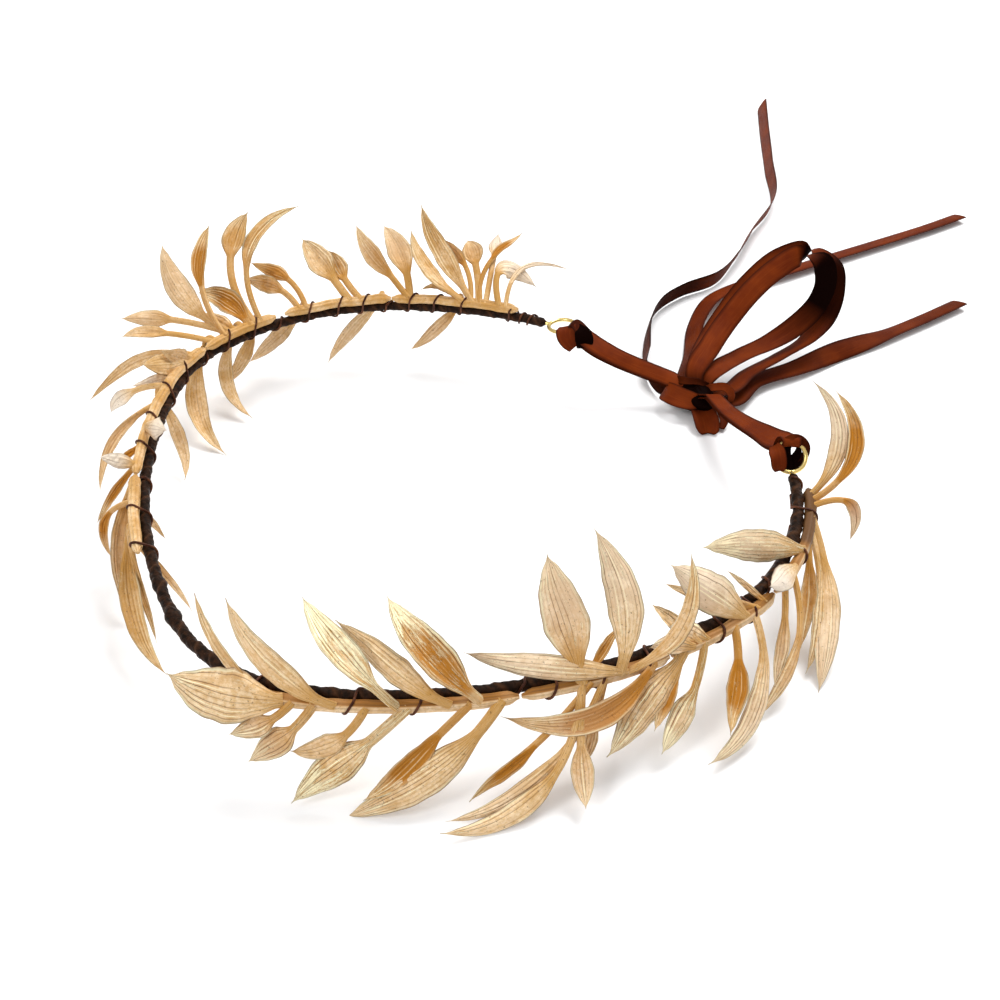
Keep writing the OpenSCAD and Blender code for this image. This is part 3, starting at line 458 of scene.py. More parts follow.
def through(places, values, at):
    """Smooth curve through values at places: cubic pieces whose slopes are the mean of their
    neighbours', each weighted by the other's length."""
    places, values = np.asarray(places, float), np.asarray(values, float)
    values = values.reshape(len(places), -1)
    step = np.diff(places)[:, None]
    rise = np.diff(values, axis=0) / step
    inner = (rise[:-1] * step[1:] + rise[1:] * step[:-1]) / (step[1:] + step[:-1])
    slope = np.vstack([rise[:1], inner, rise[-1:]])
    i = np.clip(np.searchsorted(places, at, side="right") - 1, 0, len(places) - 2)
    h = step[i]
    t = (np.asarray(at, float)[:, None] - places[i][:, None]) / h
    a, b = values[i], values[i + 1]
    return ((2 * t**3 - 3 * t**2 + 1) * a + (t**3 - 2 * t**2 + t) * h * slope[i]
            + (3 * t**2 - 2 * t**3) * b + (t**3 - t**2) * h * slope[i + 1])


def hoop_at(s):
    """Point and heading at shares s of the hoop's length: on a bend of radius r the point is the
    bend's start plus r times the change of (sin, -cos) of the heading."""
    s = np.atleast_1d(np.asarray(s, float))
    radius = HOOP_R * BENDS[:, 0]
    turn = np.radians(BENDS[:, 1])
    lengths = radius * turn
    runs = np.concatenate([[0], np.cumsum(lengths)])
    first = math.radians(START_ANGLE + START_TURN)
    heads = first + np.concatenate([[0], np.cumsum(turn)])
    dx = radius * (np.sin(heads[1:]) - np.sin(heads[:-1]))
    dy = radius * (np.cos(heads[:-1]) - np.cos(heads[1:]))
    out = HOOP_R * START_OUT * azel(START_ANGLE, 0.0)
    xs = out[0] + np.concatenate([[0], np.cumsum(dx)])
    ys = out[1] + np.concatenate([[0], np.cumsum(dy)])
    d = s * runs[-1]
    i = np.clip(np.searchsorted(runs, d, side="right") - 1, 0, len(radius) - 1)
    h = heads[i] + (d - runs[i]) / radius[i]
    x = xs[i] + radius[i] * (np.sin(h) - np.sin(heads[i]))
    y = ys[i] + radius[i] * (np.cos(heads[i]) - np.cos(h))
    return np.stack([x, y, np.full_like(x, HOOP_Z)], -1), h


def beside_hoop(s):
    """Point on the hoop, the way along it and the way away from the head."""
    p, h = hoop_at(s)
    zero = 0 * h
    return p, np.stack([np.cos(h), np.sin(h), zero], -1), np.stack([np.sin(h), -np.cos(h), zero], -1)


def stem_at(s, far=STEM_OUT, share=1.0):
    """Point beside the hoop, as far from its middle as given, at a share of the angle above the
    outer side that the stems lie at."""
    p, _, out = beside_hoop(s)
    rise = np.radians(np.interp(np.atleast_1d(s), STEM_RISE[:, 0], STEM_RISE[:, 1])) * share
    return p + (out * np.cos(rise)[:, None] + UPWARD * np.sin(rise)[:, None]) * far


def skin(rings, uv=None, **marks):
    """Rings of points joined into a closed solid, with a middle point closing each end. uv and
    each mark hold one value for every point of every ring."""
    n, m = rings.shape[:2]
    points = np.vstack([rings.reshape(-1, 3), rings[0].mean(0), rings[-1].mean(0)])
    i, j = np.meshgrid(np.arange(n - 1), np.arange(m), indexing="ij")
    k = (j + 1) % m
    quads = np.stack([i * m + j, i * m + k, (i + 1) * m + k, (i + 1) * m + j], -1).reshape(-1, 4)
    j = np.arange(m)
    k = (j + 1) % m
    last = (n - 1) * m
    tris = np.vstack([np.stack([k, j, np.full(m, n * m)], -1),
                      np.stack([last + j, last + k, np.full(m, n * m + 1)], -1)])
    a, b, c = (points[quads[:, x]] for x in (0, 1, 2))
    if np.einsum("ij,ij->i", np.cross(b - a, c - a), a - points.mean(0)).sum() < 0:
        quads, tris = quads[:, ::-1], tris[:, ::-1]
    values = {"uv": np.zeros(rings.shape[:2] + (2,)) if uv is None else uv, **marks}
    at_points = {}
    for name, value in values.items():
        value = np.broadcast_to(value, rings.shape[:2] + value.shape[2:])
        flat = value.reshape((n * m,) + value.shape[2:])
        at_points[name] = np.concatenate([flat, value[0].mean(0)[None], value[-1].mean(0)[None]])
    return {"points": points, "quads": quads, "tris": tris, "marks": at_points}


def put(name, parts, material, node=None, sharp=50.0):
    """Joins parts into one mesh object on the body, with their UV and marks, in place of a node."""
    offsets = np.cumsum([0] + [len(p["points"]) for p in parts])
    points = np.vstack([p["points"] for p in parts]) * MM
    quads = np.vstack([p["quads"] + o for p, o in zip(parts, offsets)])
    tris = np.vstack([p["tris"] + o for p, o in zip(parts, offsets)])
    mesh = bpy.data.meshes.new(name)
    corners = np.concatenate([quads.ravel(), tris.ravel()]).astype(np.int32)
    starts = np.concatenate([np.arange(len(quads)) * 4, len(quads) * 4 + np.arange(len(tris)) * 3])
    mesh.vertices.add(len(points))
    mesh.loops.add(len(corners))
    mesh.polygons.add(len(starts))
    mesh.vertices.foreach_set("co", points.astype(np.float32).ravel())
    mesh.loops.foreach_set("vertex_index", corners)
    mesh.polygons.foreach_set("loop_start", starts.astype(np.int32))
    uv = np.vstack([p["marks"]["uv"] for p in parts])
    layer = mesh.uv_layers.new(name="UVMap")
    layer.data.foreach_set("uv", uv[corners].astype(np.float32).ravel())
    for key in parts[0]["marks"]:
        if key != "uv":
            value = np.vstack([p["marks"][key] for p in parts])
            kept = mesh.attributes.new(key, "FLOAT_VECTOR", "POINT")
            kept.data.foreach_set("vector", value.astype(np.float32).ravel())
    mesh.update(calc_edges=True)
    mesh.validate()
    mesh.shade_smooth()
    mesh.set_sharp_from_angle(angle=math.radians(sharp))
    mesh.materials.append(material)
    obj = bpy.data.objects.new(name, mesh)
    bpy.context.scene.collection.objects.link(obj)
    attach(obj, "root")
    if node:
        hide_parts(node)
    return obj


def distances(line):
    """How far along a line of points each point is."""
    return np.concatenate([[0], np.cumsum(np.linalg.norm(np.diff(line, axis=0), axis=1))])


def circle(sides):
    """Angles round a circle, as one row."""
    return np.linspace(0, 2 * np.pi, sides, endpoint=False)[None]


def two_faced(across):
    """Places from -1 to 1 across a sheet's upper face and back across its lower one, as one row,
    and which face each is on: 1 or -1."""
    v = np.linspace(-1, 1, across // 2 + 1)
    face = np.concatenate([np.ones(across // 2 + 1), -np.ones(across // 2 - 1)])
    return np.concatenate([v, v[-2:0:-1]])[None], face[None]


def tube(line, radius, sides):
    """Rings round a line: at each point the ring is radius times (cos, sin) of the angle, on two
    axes that are square to the line, one of them level."""
    run = unit(np.gradient(line, axis=0))
    side = unit(np.cross(run, UPWARD))
    up = np.cross(side, run)
    angle = circle(sides)[0]
    radius = np.broadcast_to(radius, (len(line), sides))[..., None]
    return line[:, None] + radius * (side[:, None] * np.cos(angle)[:, None]
                                     + up[:, None] * np.sin(angle)[:, None])


def leaf_middle(row, grows, u):
    """Middle of a leaf: foot (1-u)^2 + handle 2u(1-u) + tip u^2, and its length. A leaf behind the
    hoop also has points that lead round the stem to its foot. Returns the middle and the length."""
    _, along_way, out_way = (x[0] for x in beside_hoop(row[AT]))
    far = STEM_OUT + FOOT_OUT * STEM_D
    fall = HOOP_Z if row[RISE] < 0 else LEAF_L
    reach = (along_way * grows * row[ALONG] * LEAF_L + out_way * row[OUT] * LEAF_L
             + UPWARD * row[RISE] * fall)
    length = np.linalg.norm(reach)
    left = unit(np.cross(FACE, reach))
    tip = stem_at(row[AT], STEM_OUT, 0.0)[0] + reach
    if row[LIFT] < 0:
        foot = stem_at(row[AT], far, 0.0)[0]
    else:
        foot = stem_at(row[AT])[0] + FACE * FOOT_OUT * STEM_D
    handle = (foot + tip) / 2 + (left * row[BOW] + FACE * row[LIFT]) * length
    middle = foot * (1 - u) ** 2 + handle * 2 * u * (1 - u) + tip * u**2
    if row[LIFT] < 0:
        share = 1 - np.arange(FOOT_POINTS) / FOOT_POINTS
        out = STEM_OUT + (far - STEM_OUT) * np.minimum(1, 3 - 3 * share)
        middle[:FOOT_POINTS] = stem_at(np.full(FOOT_POINTS, row[AT]), out[:, None], share)
    return middle, length


def leaf(row, grows, look, rng):
    """A leaf round its middle. At u the section is a thin sheet from v = -1 to 1, set out along
    side times v times the half width, and lifted along front by cup |v|^1.4, by ribs cos(2 pi y),
    by a wave of its edges and by crinkles. The half width follows BLADE, evened out, over the
    share b past the stalk, and draws in to a point at the tip."""
    size = bpy.context.scene.wreath_leaves
    twist, hook, curl = rng.uniform(-1, 1, 3)
    wave = rng.uniform(0, 2 * np.pi, 8)
    lead = FOOT_POINTS if row[LIFT] < 0 else 0
    u = np.concatenate([np.zeros(lead), np.linspace(0, 1, LEAF_POINTS)])[:, None]
    middle, length = leaf_middle(row, grows, u)
    amber, foil, pale, *stalked = look
    stalked = stalked[0] if stalked else row[STALK]
    b = np.clip((u - stalked) / (1 - stalked), 0, 1)
    run = unit(np.gradient(middle, axis=0))
    flat_side = unit(np.cross(run, FACE))
    if lead:
        along_way = beside_hoop(row[AT])[1][0]
        flat_side[:lead] = along_way * np.sign(flat_side[lead + 1] @ along_way)
    flat_front = np.cross(flat_side, run)
    roll = np.radians(row[ROLL] + TWIST * twist * (b - 0.3))
    side = flat_side * np.cos(roll) + flat_front * np.sin(roll)
    front = flat_front * np.cos(roll) - flat_side * np.sin(roll)
    end = np.clip((b - 0.6) / 0.4, 0, 1) ** 2
    middle = middle + (side * hook * HOOK + front * curl * CURL) * end * length

    full = row[WIDE] * LEAF_W / 2
    stalk = min(STALK_D / 2, full)
    window = np.clip(b + np.linspace(-BLADE_EVENED, BLADE_EVENED, 7), 0, 1)
    profile = np.interp(window, BLADE[:, 0], BLADE[:, 1]).mean(1, keepdims=True)
    profile = profile * (1 - TIP_LOSS * smooth((b - TIP_FROM) / (1 - TIP_FROM)))
    half = np.sqrt((stalk * (1 - b) ** 2) ** 2 + (profile * full) ** 2)
    open_up = smooth(b / OPENED_AT)
    thick = STALK_D * (1 - open_up) + size.thickness / MM * open_up * (1 - 0.5 * b)

    v, face = two_faced(LEAF_ROUND)
    rib_count = int(np.clip(round(row[WIDE] * 9), 4, 9))
    y = v * rib_count / 2 + 0.12 * np.sin(2.1 * np.pi * u + wave[0]) * (1 - v**2)
    opened = np.clip(half / max(full, 0.1), 0, 1) ** 0.7 * open_up
    cup = row[CUP] * half * np.abs(v) ** 1.4 * open_up
    fold = size.rib_depth / MM * np.cos(2 * np.pi * y) * opened
    fold = fold * (1 + 0.8 * np.sin(8 * u + 5 * v + wave[5])) * (1 + 0.7 * np.sin(4 * y + wave[6]))
    midrib = -MIDRIB_DEEP * np.exp(-((v / MIDRIB_WIDE) ** 2)) * open_up * (1 - b)
    ripple = np.sin(5.2 * u + wave[1]) * np.clip(v, 0, 1) ** 2
    ripple = ripple + np.sin(6.1 * u + wave[2]) * np.clip(-v, 0, 1) ** 2
    crinkle = (np.sin(31 * u + 5 * v + wave[3]) + np.sin(23 * u - 7 * v + wave[4])
               + np.sin(47 * u + 3 * v + wave[5]))
    lift = cup + fold + midrib + (EDGE_WAVE * full * ripple + CRINKLE * crinkle) * opened
    plump = face * thick / 2 * np.sqrt(np.clip(1 - np.abs(v) ** (2 + 6 * open_up), 0, 1))
    ragged = 1 + (0.02 * np.sin(19 * u + wave[6]) + 0.015 * np.sin(43 * u + wave[7])) * open_up
    rings = (middle[:, None] + side[:, None] * (v * half * ragged)[..., None]
             + front[:, None] * (lift + plump)[..., None])

    hollow = amber * (1 - smooth((b - 0.45) / 0.4)) * smooth(b / 0.05 + 0.4)
    hollow = hollow * (1 - 0.75 * smooth((np.abs(v) - 0.5) / 0.5))
    # Foil, and with it the strength of the painted highlights, grows toward the tip.
    shine = foil * (0.6 + 0.4 * smooth((b - 0.5) / 0.3))
    edge = np.maximum(smooth((np.abs(v) - 0.84) / 0.15) * open_up, 0.8 * smooth((b - 0.95) / 0.05))
    return skin(rings, stack(u * length / 10, y), look=stack(hollow, shine, pale * smooth(b / 0.6)),
                place=stack(rng.uniform(), 1 - smooth(b / 0.3), edge))


def stem(start, end, leaves, rng):
    """A sprig's stem: a tube beside the hoop that tapers, grooved by cos 7a and cos 11a, swollen
    where a leaf starts, and drawn in at both ends. In front it has an amber streak on its side
    next to the hoop, broken by sines, and brown lines in its grooves."""
    size = bpy.context.scene.wreath_leaves
    count = max(24, int(abs(end - start) * HOOP_RUN / STEM_STEP))
    k = np.linspace(0, 1, count)
    reach = STEM_REACH * np.sign(end - start)
    s = start - reach + (end - start + 2 * reach) * k
    shake = sum(far * np.sin(s * rate + rng.uniform(0, 6)) for far, rate in STEM_SHAKES)
    line = stem_at(s, STEM_OUT + shake[:, None]) + UPWARD * shake[::-1, None]
    at_leaves = np.array([row[AT] for row in leaves])
    swell = np.exp(-(((s[:, None] - at_leaves) * HOOP_RUN / 1.4) ** 2)).max(1)
    radius = STEM_D / 2 * size.stem_share * (1 - 0.14 * k) + STEM_SWELL * swell
    close = smooth(k * count / 3) * smooth((1 - k) * count / 3)
    angle = circle(STEM_SIDES)
    grooves = np.cos(STEM_GROOVES[0] * angle + 2 * k[:, None])
    relief = STEM_GROOVES[1] * grooves + STEM_LINES[1] * np.cos(STEM_LINES[0] * angle - 3 * k[:, None])
    rings = tube(line, (radius * (0.35 + 0.65 * close))[:, None] + relief, STEM_SIDES)

    _, _, out = beside_hoop(s)
    inner = np.einsum("ijk,ik->ij", unit(rings - line[:, None]), unit(UPWARD - 0.9 * out))
    front = smooth((s - 0.5) / 0.1)[:, None]
    broken = 0.8 + 0.2 * np.sin(s * 160 + 2 * np.sin(s * 70))[:, None]
    amber = front * broken * smooth((inner + 0.12) / 0.3) + (1 - front) * 0.15 * smooth((inner - 0.6) / 0.3)
    thin = 0.35 + 0.4 * swell[:, None] + 0.35 * (1 - front) + 0.5 * amber * front
    lines = smooth((-grooves - 0.5) / 0.4) * (0.4 + 0.6 * front) * broken * (0.45 + 0.65 * amber)
    stained = 1.3 * smooth((s - STAINED_FROM) / 0.012)[:, None]
    dark = np.maximum(np.maximum(stained, 0.7 * amber * front), lines)
    return skin(rings, stack(s[:, None] * HOOP_RUN / 10, angle / np.pi * 4),
                look=stack(np.clip(amber, 0, 1), 0.05, 0.15 * (1 - amber) * front),
                place=stack(rng.uniform(0.1, 0.5), thin, dark))


def taped_hoop():
    """The hoop: a tube whose radius steps down along a slanting wind of tape, by (1-w)^1.5 of the
    share w of the wind's pitch passed, with lumps at the joints and creases between."""
    size = bpy.context.scene.wreath_hoop
    s = np.linspace(0, 1, int(HOOP_RUN / HOOP_STEP))
    angle = circle(HOOP_SIDES)
    run = s[:, None] * HOOP_RUN
    bent = 0.16 * np.sin(run / 5.3) + 0.11 * np.sin(run / 2.9 + 1)
    wind = np.mod(run / (size.tape_pitch / MM) + angle / (2 * np.pi) + bent, 1)
    at, high, wide = np.array(TAPE_LUMPS).T
    lumps = (high * np.exp(-(((s[:, None] - at) * HOOP_RUN / wide) ** 2))).sum(1, keepdims=True)
    crease = 0.05 * np.sin(run * 3.1 + 3 * np.sin(angle * 2)) + 0.04 * np.sin(run * 1.7 - angle * 3)
    step = TAPE_STEP * (1 - wind) ** 1.5 + TAPE_CURL * smooth(wind / 0.08)
    radius = size.thickness / MM / 2 - TAPE_SUNK + step + lumps * (1 + 0.4 * np.sin(angle * 3 + run)) + crease
    close = smooth(run / 1.2) * smooth((HOOP_RUN - run) / 1.2)
    rings = tube(beside_hoop(s)[0], radius * (0.45 + 0.55 * close), HOOP_SIDES)
    lip = np.exp(-((wind / 0.10) ** 2)) + np.exp(-(((wind - 1) / 0.05) ** 2))
    return skin(rings, stack(run / 10, angle / (2 * np.pi)), look=stack(lip, 0.0, crease * 10 + 0.5))


def held_on(s):
    """How far the binding wire is held off the hoop by a stem: 1 beside one and 0 past its ends."""
    ends = np.array([sorted(sprig[1:3]) for sprig in SPRIGS])
    inside = np.minimum(s[:, None] - ends[:, 0], ends[:, 1] - s[:, None]) * HOOP_RUN
    return smooth((inside + 0.5) / 2.5).max(1)


def wire_line(start, end):
    """Middle of the binding wire: it lies along the under side of the hoop and at each turn goes
    once round the outline of hoop and stem, its angle being 2 pi times the sum of smooth steps.
    Where no stem lies it goes round the hoop alone."""
    size = bpy.context.scene.wreath_wire
    wide = size.turn_length / MM / HOOP_RUN
    half = size.thickness / MM / 2
    within = np.array([at for at in TURNS if start < at < end])

    def point(s):
        p, _, out = beside_hoop(s)
        to_stem = (stem_at(s) - p) / STEM_OUT
        across = np.cross(np.cross(out, UPWARD), to_stem)
        angle = WIRE_REST + 2 * np.pi * smooth((s[:, None] - within) / wide + 0.5).sum(1)
        on_stem = (0.5 + 0.5 * np.tanh(6 * np.cos(angle))) * held_on(s)
        r = WIRE_SEAT + half - 0.08 * on_stem
        reach = STEM_OUT * on_stem + r * np.cos(angle)
        return p + to_stem * reach[:, None] + across * (r * np.sin(angle))[:, None]

    fine = np.linspace(start, end, 9000)
    run = distances(point(fine))
    return point(np.interp(np.arange(0, run[-1], WIRE_SPACING), run, fine))


def band(line, wish, width, thick, bulge=0.0, dark=0.0, inner=None, across=12):
    """A ribbon: at each point of the line a flat section of the given width, its two faces thick
    apart with round edges, crowned by bulge (1 - v^2). side is the wish made square to the line.
    dark is painted shade on both faces, and inner paints shade on the face that looks to a point
    where it looks down."""
    run = unit(np.gradient(line, axis=0))
    up = unit(np.cross(wish, run))
    side = np.cross(run, up)
    v, face = two_faced(across)
    width, bulge, dark = (np.broadcast_to(x, (len(line),))[:, None] for x in (width, bulge, dark))
    edge = np.sqrt(np.clip(1 - np.abs(v) ** 10, 0, 1))
    lift = bulge * (1 - v**2) + face * thick / 2 * edge * (1 + 0.25 * smooth((np.abs(v) - 0.7) / 0.2))
    rings = (line[:, None] + side[:, None] * (v * width / 2)[..., None]
             + up[:, None] * lift[..., None])
    rings[..., 2] = np.maximum(rings[..., 2], RIBBON_LOW)
    if inner is not None:
        toward = np.sign(np.einsum("ij,ij->i", up, inner - line))[:, None] * face
        down = smooth(0.7 - 1.6 * up[:, 2:3] * face)
        dark = np.maximum(dark, np.clip(toward, 0, 1) * down)
    # The first mark darkens the edges, woven edge and painted shade; the third is painted shade.
    return skin(rings, stack(distances(line)[:, None] / 10, v / 2 + 0.5),
                look=stack(smooth((np.abs(v) - 0.84) / 0.12), 0.0, dark))


def even_line(route):
    """Evenly spaced points on the smooth curve through a route, and the way of the width there."""
    route = np.array(route, float)
    places = distances(route[:, :3])
    fine = np.linspace(0, places[-1], 1500)
    run = distances(through(places, route[:, :3], fine))
    at = np.interp(np.linspace(0, run[-1], max(12, int(run[-1] / RIBBON_SPACING))), run, fine)
    wish = unit(through(places, azel(route[:, 3], route[:, 4]), at))
    return through(places, route[:, :3], at), wish


def into_knot(route, both):
    """A route whose end at the knot, or both ends, goes on into the knot."""
    def inside(row):
        return tuple(KNOT + IN_KNOT * (np.array(row[:3]) - KNOT)) + tuple(row[3:])
    return [inside(route[0]), *route] + ([inside(route[-1])] if both else [])


def waist(line, width, both):
    """Width along a line: the whole width, drawn in smoothly next to the knot."""
    gone = distances(line)
    ease = smooth(gone / WAIST_RUN)
    if both:
        ease = ease * smooth((gone[-1] - gone) / WAIST_RUN)
    return width * (WAIST + (1 - WAIST) * ease)


def wavering(line, mean, change, angle):
    """A value along a line: mean plus change times the sine of an angle that grows from 0."""
    return mean + change * np.sin(np.linspace(0, angle, len(line)))


def eye_axes(eye):
    """The way of an eye's ring from its neck, and the ring's far point."""
    s, turn, tilt = eye
    p, h = hoop_at(s)
    neck = azel(math.degrees(h[0]) + turn, 0.0)
    ring = azel(math.degrees(h[0]) + turn, tilt)
    return ring, p[0] + neck * EYE_NECK + ring * EYE_D


def strand(eye, route, width, thick, dark):
    """A strand: the ribbon comes from the knot, goes round the eye's far wire through the eye on a
    half circle, and back under itself. Its width swells by exp(-((d-w)/w)^2) at a distance d from
    the turn, narrows by exp(-(d/p)^2), and it is shaded there by exp(-(d/r)^4). Returns the line
    between its two layers, from the eye, and the ribbon."""
    ring, far = eye_axes(eye)
    axis = unit(np.cross(ring, UPWARD))
    line, wish = even_line(route)
    inner = KNOT + STRAND_IN_KNOT * (line[-1] - KNOT)
    line = np.vstack([line, line[-1] + (inner - line[-1]) * np.linspace(0.25, 1, 4)[:, None]])
    wish = np.vstack([wish, np.repeat(wish[-1:], 4, axis=0)])
    up = unit(np.cross(wish, unit(np.gradient(line, axis=0))))
    up = up * np.sign(up[:, 2:3] + 1e-6)
    away = unit(line[5] - far)
    lift = unit(np.cross(axis, away))
    lift = lift * np.sign(lift[2])
    turn = np.radians(np.linspace(TURN_HALF, -TURN_HALF, TURN_POINTS))[:, None]
    bend = far + TURN_R * (-away * np.cos(turn) + lift * np.sin(turn))
    line, up, wish = line[4:], up[4:] * LAYER_HALF, wish[4:]
    path = np.vstack([(line + up)[::-1], bend, line - up])
    level = np.repeat((axis * np.sign(axis @ wish[0]))[None], TURN_POINTS, axis=0)
    places = distances(path)
    at = np.linspace(0, places[-1], int(places[-1] / STRAND_SPACING))
    sides = unit(through(places, np.vstack([wish[::-1], level, wish]), at))
    from_turn = np.abs(at - places[-1] / 2)
    least, more, widest = STRAND_WIDTH
    share = least + more * np.exp(-(((from_turn - widest) / widest) ** 2))
    share = share - PINCH[0] * np.exp(-((from_turn / PINCH[1]) ** 2))
    # Painted shade round the turn.
    shade = dark * np.exp(-((from_turn / TURN_SHADE) ** 4))
    ribbon = band(through(places, path, at), sides, width * share, thick, 0.2, shade)
    return np.vstack([far[None], line]), ribbon


def folds(rows, middle, width, thick):
    """Bands of ribbon given in the view, each on the smooth curves through its rows."""
    parts = []
    for points, crown in rows:
        points = np.array(points, float)
        places = distances(points[:, :3])
        at = np.linspace(0, places[-1], max(12, int(places[-1] / FOLD_SPACING)))
        right, up, near, share, angle, shade = through(places, points, at).T[:, :, None]
        line = middle + RIGHT * right + UP * up + FACE * near
        line[:, 2] = np.maximum(line[:, 2], FOLD_LOW)
        angle = np.radians(angle)
        side = RIGHT * np.cos(angle) + UP * np.sin(angle)
        wide = np.clip(share[:, 0], *FOLD_SHARES) * width
        parts.append(band(line, side, wide, thick, crown, np.clip(shade[:, 0], 0, 1), across=20))
    return parts


def knot_core():
    """The inside of the knot, all in painted shade: an ellipsoid whose radius swells by cos 3a and
    cos 5b.
    """
    a = circle(48)
    b = np.linspace(-np.pi / 2 + 0.05, np.pi / 2 - 0.05, 28)[:, None]
    swell = 0.84 + 0.04 * np.cos(3 * a + 2 * b) + 0.03 * np.cos(5 * b + 2 * a)
    way = stack(np.cos(a) * np.cos(b), np.sin(a) * np.cos(b), np.sin(b))
    return skin(KNOT + way * KNOT_HALF * swell[..., None], look=stack(0 * swell, 0.0, 1.0))


# Finishes


def plug(tree, inlets, sockets):
    """Links each socket given to its inlet, or sets the value given. An inlet goes by its name, or
    by its number after a low line."""
    for key, value in sockets.items():
        inlet = inlets[int(key[1:]) if key[0] == "_" else key.replace("_", " ")]
        if isinstance(value, bpy.types.NodeSocket):
            tree.links.new(value, inlet)
        else:
            inlet.default_value = value


def add(tree, kind, settings=None, outlet=0, **sockets):
    """Adds a node with its settings and inlets, and returns one of its outlets."""
    made = tree.nodes.new("ShaderNode" + kind)
    for key, value in (settings or {}).items():
        setattr(made, key, value)
    plug(tree, made.inputs, sockets)
    return made.outputs[outlet]


def calc(tree, operation, a, b=0.0, c=0.0, clamp=False):
    """A Math node."""
    return add(tree, "Math", {"operation": operation, "use_clamp": clamp}, _0=a, _1=b, _2=c)


def spread(tree, value, low, high, to_low=0.0, to_high=1.0):
    """A smooth step of value between low and high, between two results."""
    return add(tree, "MapRange", {"interpolation_type": "SMOOTHSTEP"}, _0=value, _1=low, _2=high,
               _3=to_low, _4=to_high)


def product(tree, first, *factors, clamp=False):
    """The product of several values."""
    for factor in factors:
        first = calc(tree, "MULTIPLY", first, factor, clamp=clamp)
    return first


def coats(tree, base, *layers):
    """A base colour with layers laid over it in turn, each a share and a colour."""
    for share, over in layers:
        base = add(tree, "Mix", {"data_type": "RGBA"}, 2, _0=share, _6=base, _7=tuple(over))
    return base


def split(tree, vector):
    """The three parts of a vector."""
    parts = tree.nodes.new("ShaderNodeSeparateXYZ")
    tree.links.new(vector, parts.inputs[0])
    return parts.outputs


def mark(tree, name):
    """The three parts of one of a piece's own marks."""
    return split(tree, add(tree, "Attribute", {"attribute_name": name}, 1))


def noise(tree, place, scale, detail, rough):
    """Cloudy noise at a place."""
    return add(tree, "TexNoise", _2=scale, _3=detail, _4=rough, Vector=place)


def chance(tree, number, seed, kind):
    """A chance from 0 to 1 that each whole number has, by a seed and a kind."""
    whole = add(tree, "CombineXYZ", _0=calc(tree, "FLOOR", number), _1=seed, _2=kind)
    return add(tree, "TexWhiteNoise", Vector=whole)


def group(name, inlets, outlets, build):
    """A shader node group with named inlets and outlets, built once."""
    if name in bpy.data.node_groups:
        return bpy.data.node_groups[name]
    made = bpy.data.node_groups.new(name, "ShaderNodeTree")
    for label, kind, value in inlets:
        inlet = made.interface.new_socket(label, in_out="INPUT", socket_type=kind)
        if value is not None:
            inlet.default_value = value
    for label, kind in outlets:
        made.interface.new_socket(label, in_out="OUTPUT", socket_type=kind)
    start = made.nodes.new("NodeGroupInput")
    finish = made.nodes.new("NodeGroupOutput")
    for label, socket in build(made, start.outputs).items():
        made.links.new(socket, finish.inputs[label])
    return made


def use(tree, made, **sockets):
    """Places a group in a material and returns its outlets."""
    placed = tree.nodes.new("ShaderNodeGroup")
    placed.node_tree = made
    plug(tree, placed.inputs, sockets)
    return placed.outputs


def streaks():
    """Group: streaks that run with the grain, and fine crinkles across it."""
    def build(tree, inlets):
        x, y, _ = split(tree, inlets["Grain"])
        z = product(tree, inlets["Tone"], 37.0)
        long_grain = add(tree, "CombineXYZ", _0=product(tree, x, inlets["Along"]),
                         _1=product(tree, y, inlets["Across"]), _2=z)
        cross_grain = add(tree, "CombineXYZ", _0=product(tree, x, 9.0), _1=product(tree, y, 1.1), _2=z)
        return {"Streak": noise(tree, long_grain, 1.0, 4.0, 0.6),
                "Crinkle": noise(tree, cross_grain, 1.0, 6.0, 0.7)}
    return group("Grain_streaks", [("Grain", "NodeSocketVector", None), ("Along", "NodeSocketFloat", 1.0),
                                   ("Across", "NodeSocketFloat", 3.0), ("Tone", "NodeSocketFloat", 0.0)],
                 [("Streak", "NodeSocketFloat"), ("Crinkle", "NodeSocketFloat")], build)


def flecks():
    """Group: where gold foil has kept to the surface, in ragged flakes, by an amount."""
    def build(tree, inlets):
        broad = noise(tree, inlets["Place"], 1.0, 2.0, 0.5)
        small = noise(tree, inlets["Place"], 5.0, 5.0, 0.75)
        both = calc(tree, "MULTIPLY_ADD", broad, 0.45, product(tree, small, 0.55))
        level = calc(tree, "MULTIPLY_ADD", inlets["Amount"], -0.34, 0.68)
        return {"Flake": spread(tree, calc(tree, "SUBTRACT", both, level), -0.02, 0.03)}
    return group("Foil_flecks", [("Place", "NodeSocketVector", None), ("Amount", "NodeSocketFloat", 0.5)],
                 [("Flake", "NodeSocketFloat")], build)


def material(name):
    """A new node material with its Principled BSDF: returns the material, its tree and its shader."""
    made = bpy.data.materials.new(name)
    made.use_nodes = True
    tree = made.node_tree
    tree.nodes.clear()
    shader = tree.nodes.new("ShaderNodeBsdfPrincipled")
    tree.links.new(shader.outputs[0], tree.nodes.new("ShaderNodeOutputMaterial").inputs[0])
    return made, tree, shader


def coat(tree, shader, base, rough, shine=None, metal=0.0, relief=None, deep=0.0, strength=1.0):
    """Gives a shader its base colour, roughness, specular level and metallic share, and relief
    from a height, by a distance in metres and a strength."""
    plug(tree, shader.inputs, {"Base_Color": base, "Roughness": rough, "Metallic": metal})
    if shine is not None:
        plug(tree, shader.inputs, {"Specular_IOR_Level": shine})
    if relief is not None:
        normal = add(tree, "Bump", Height=relief, Distance=deep, Strength=strength)
        plug(tree, shader.inputs, {"Normal": normal})


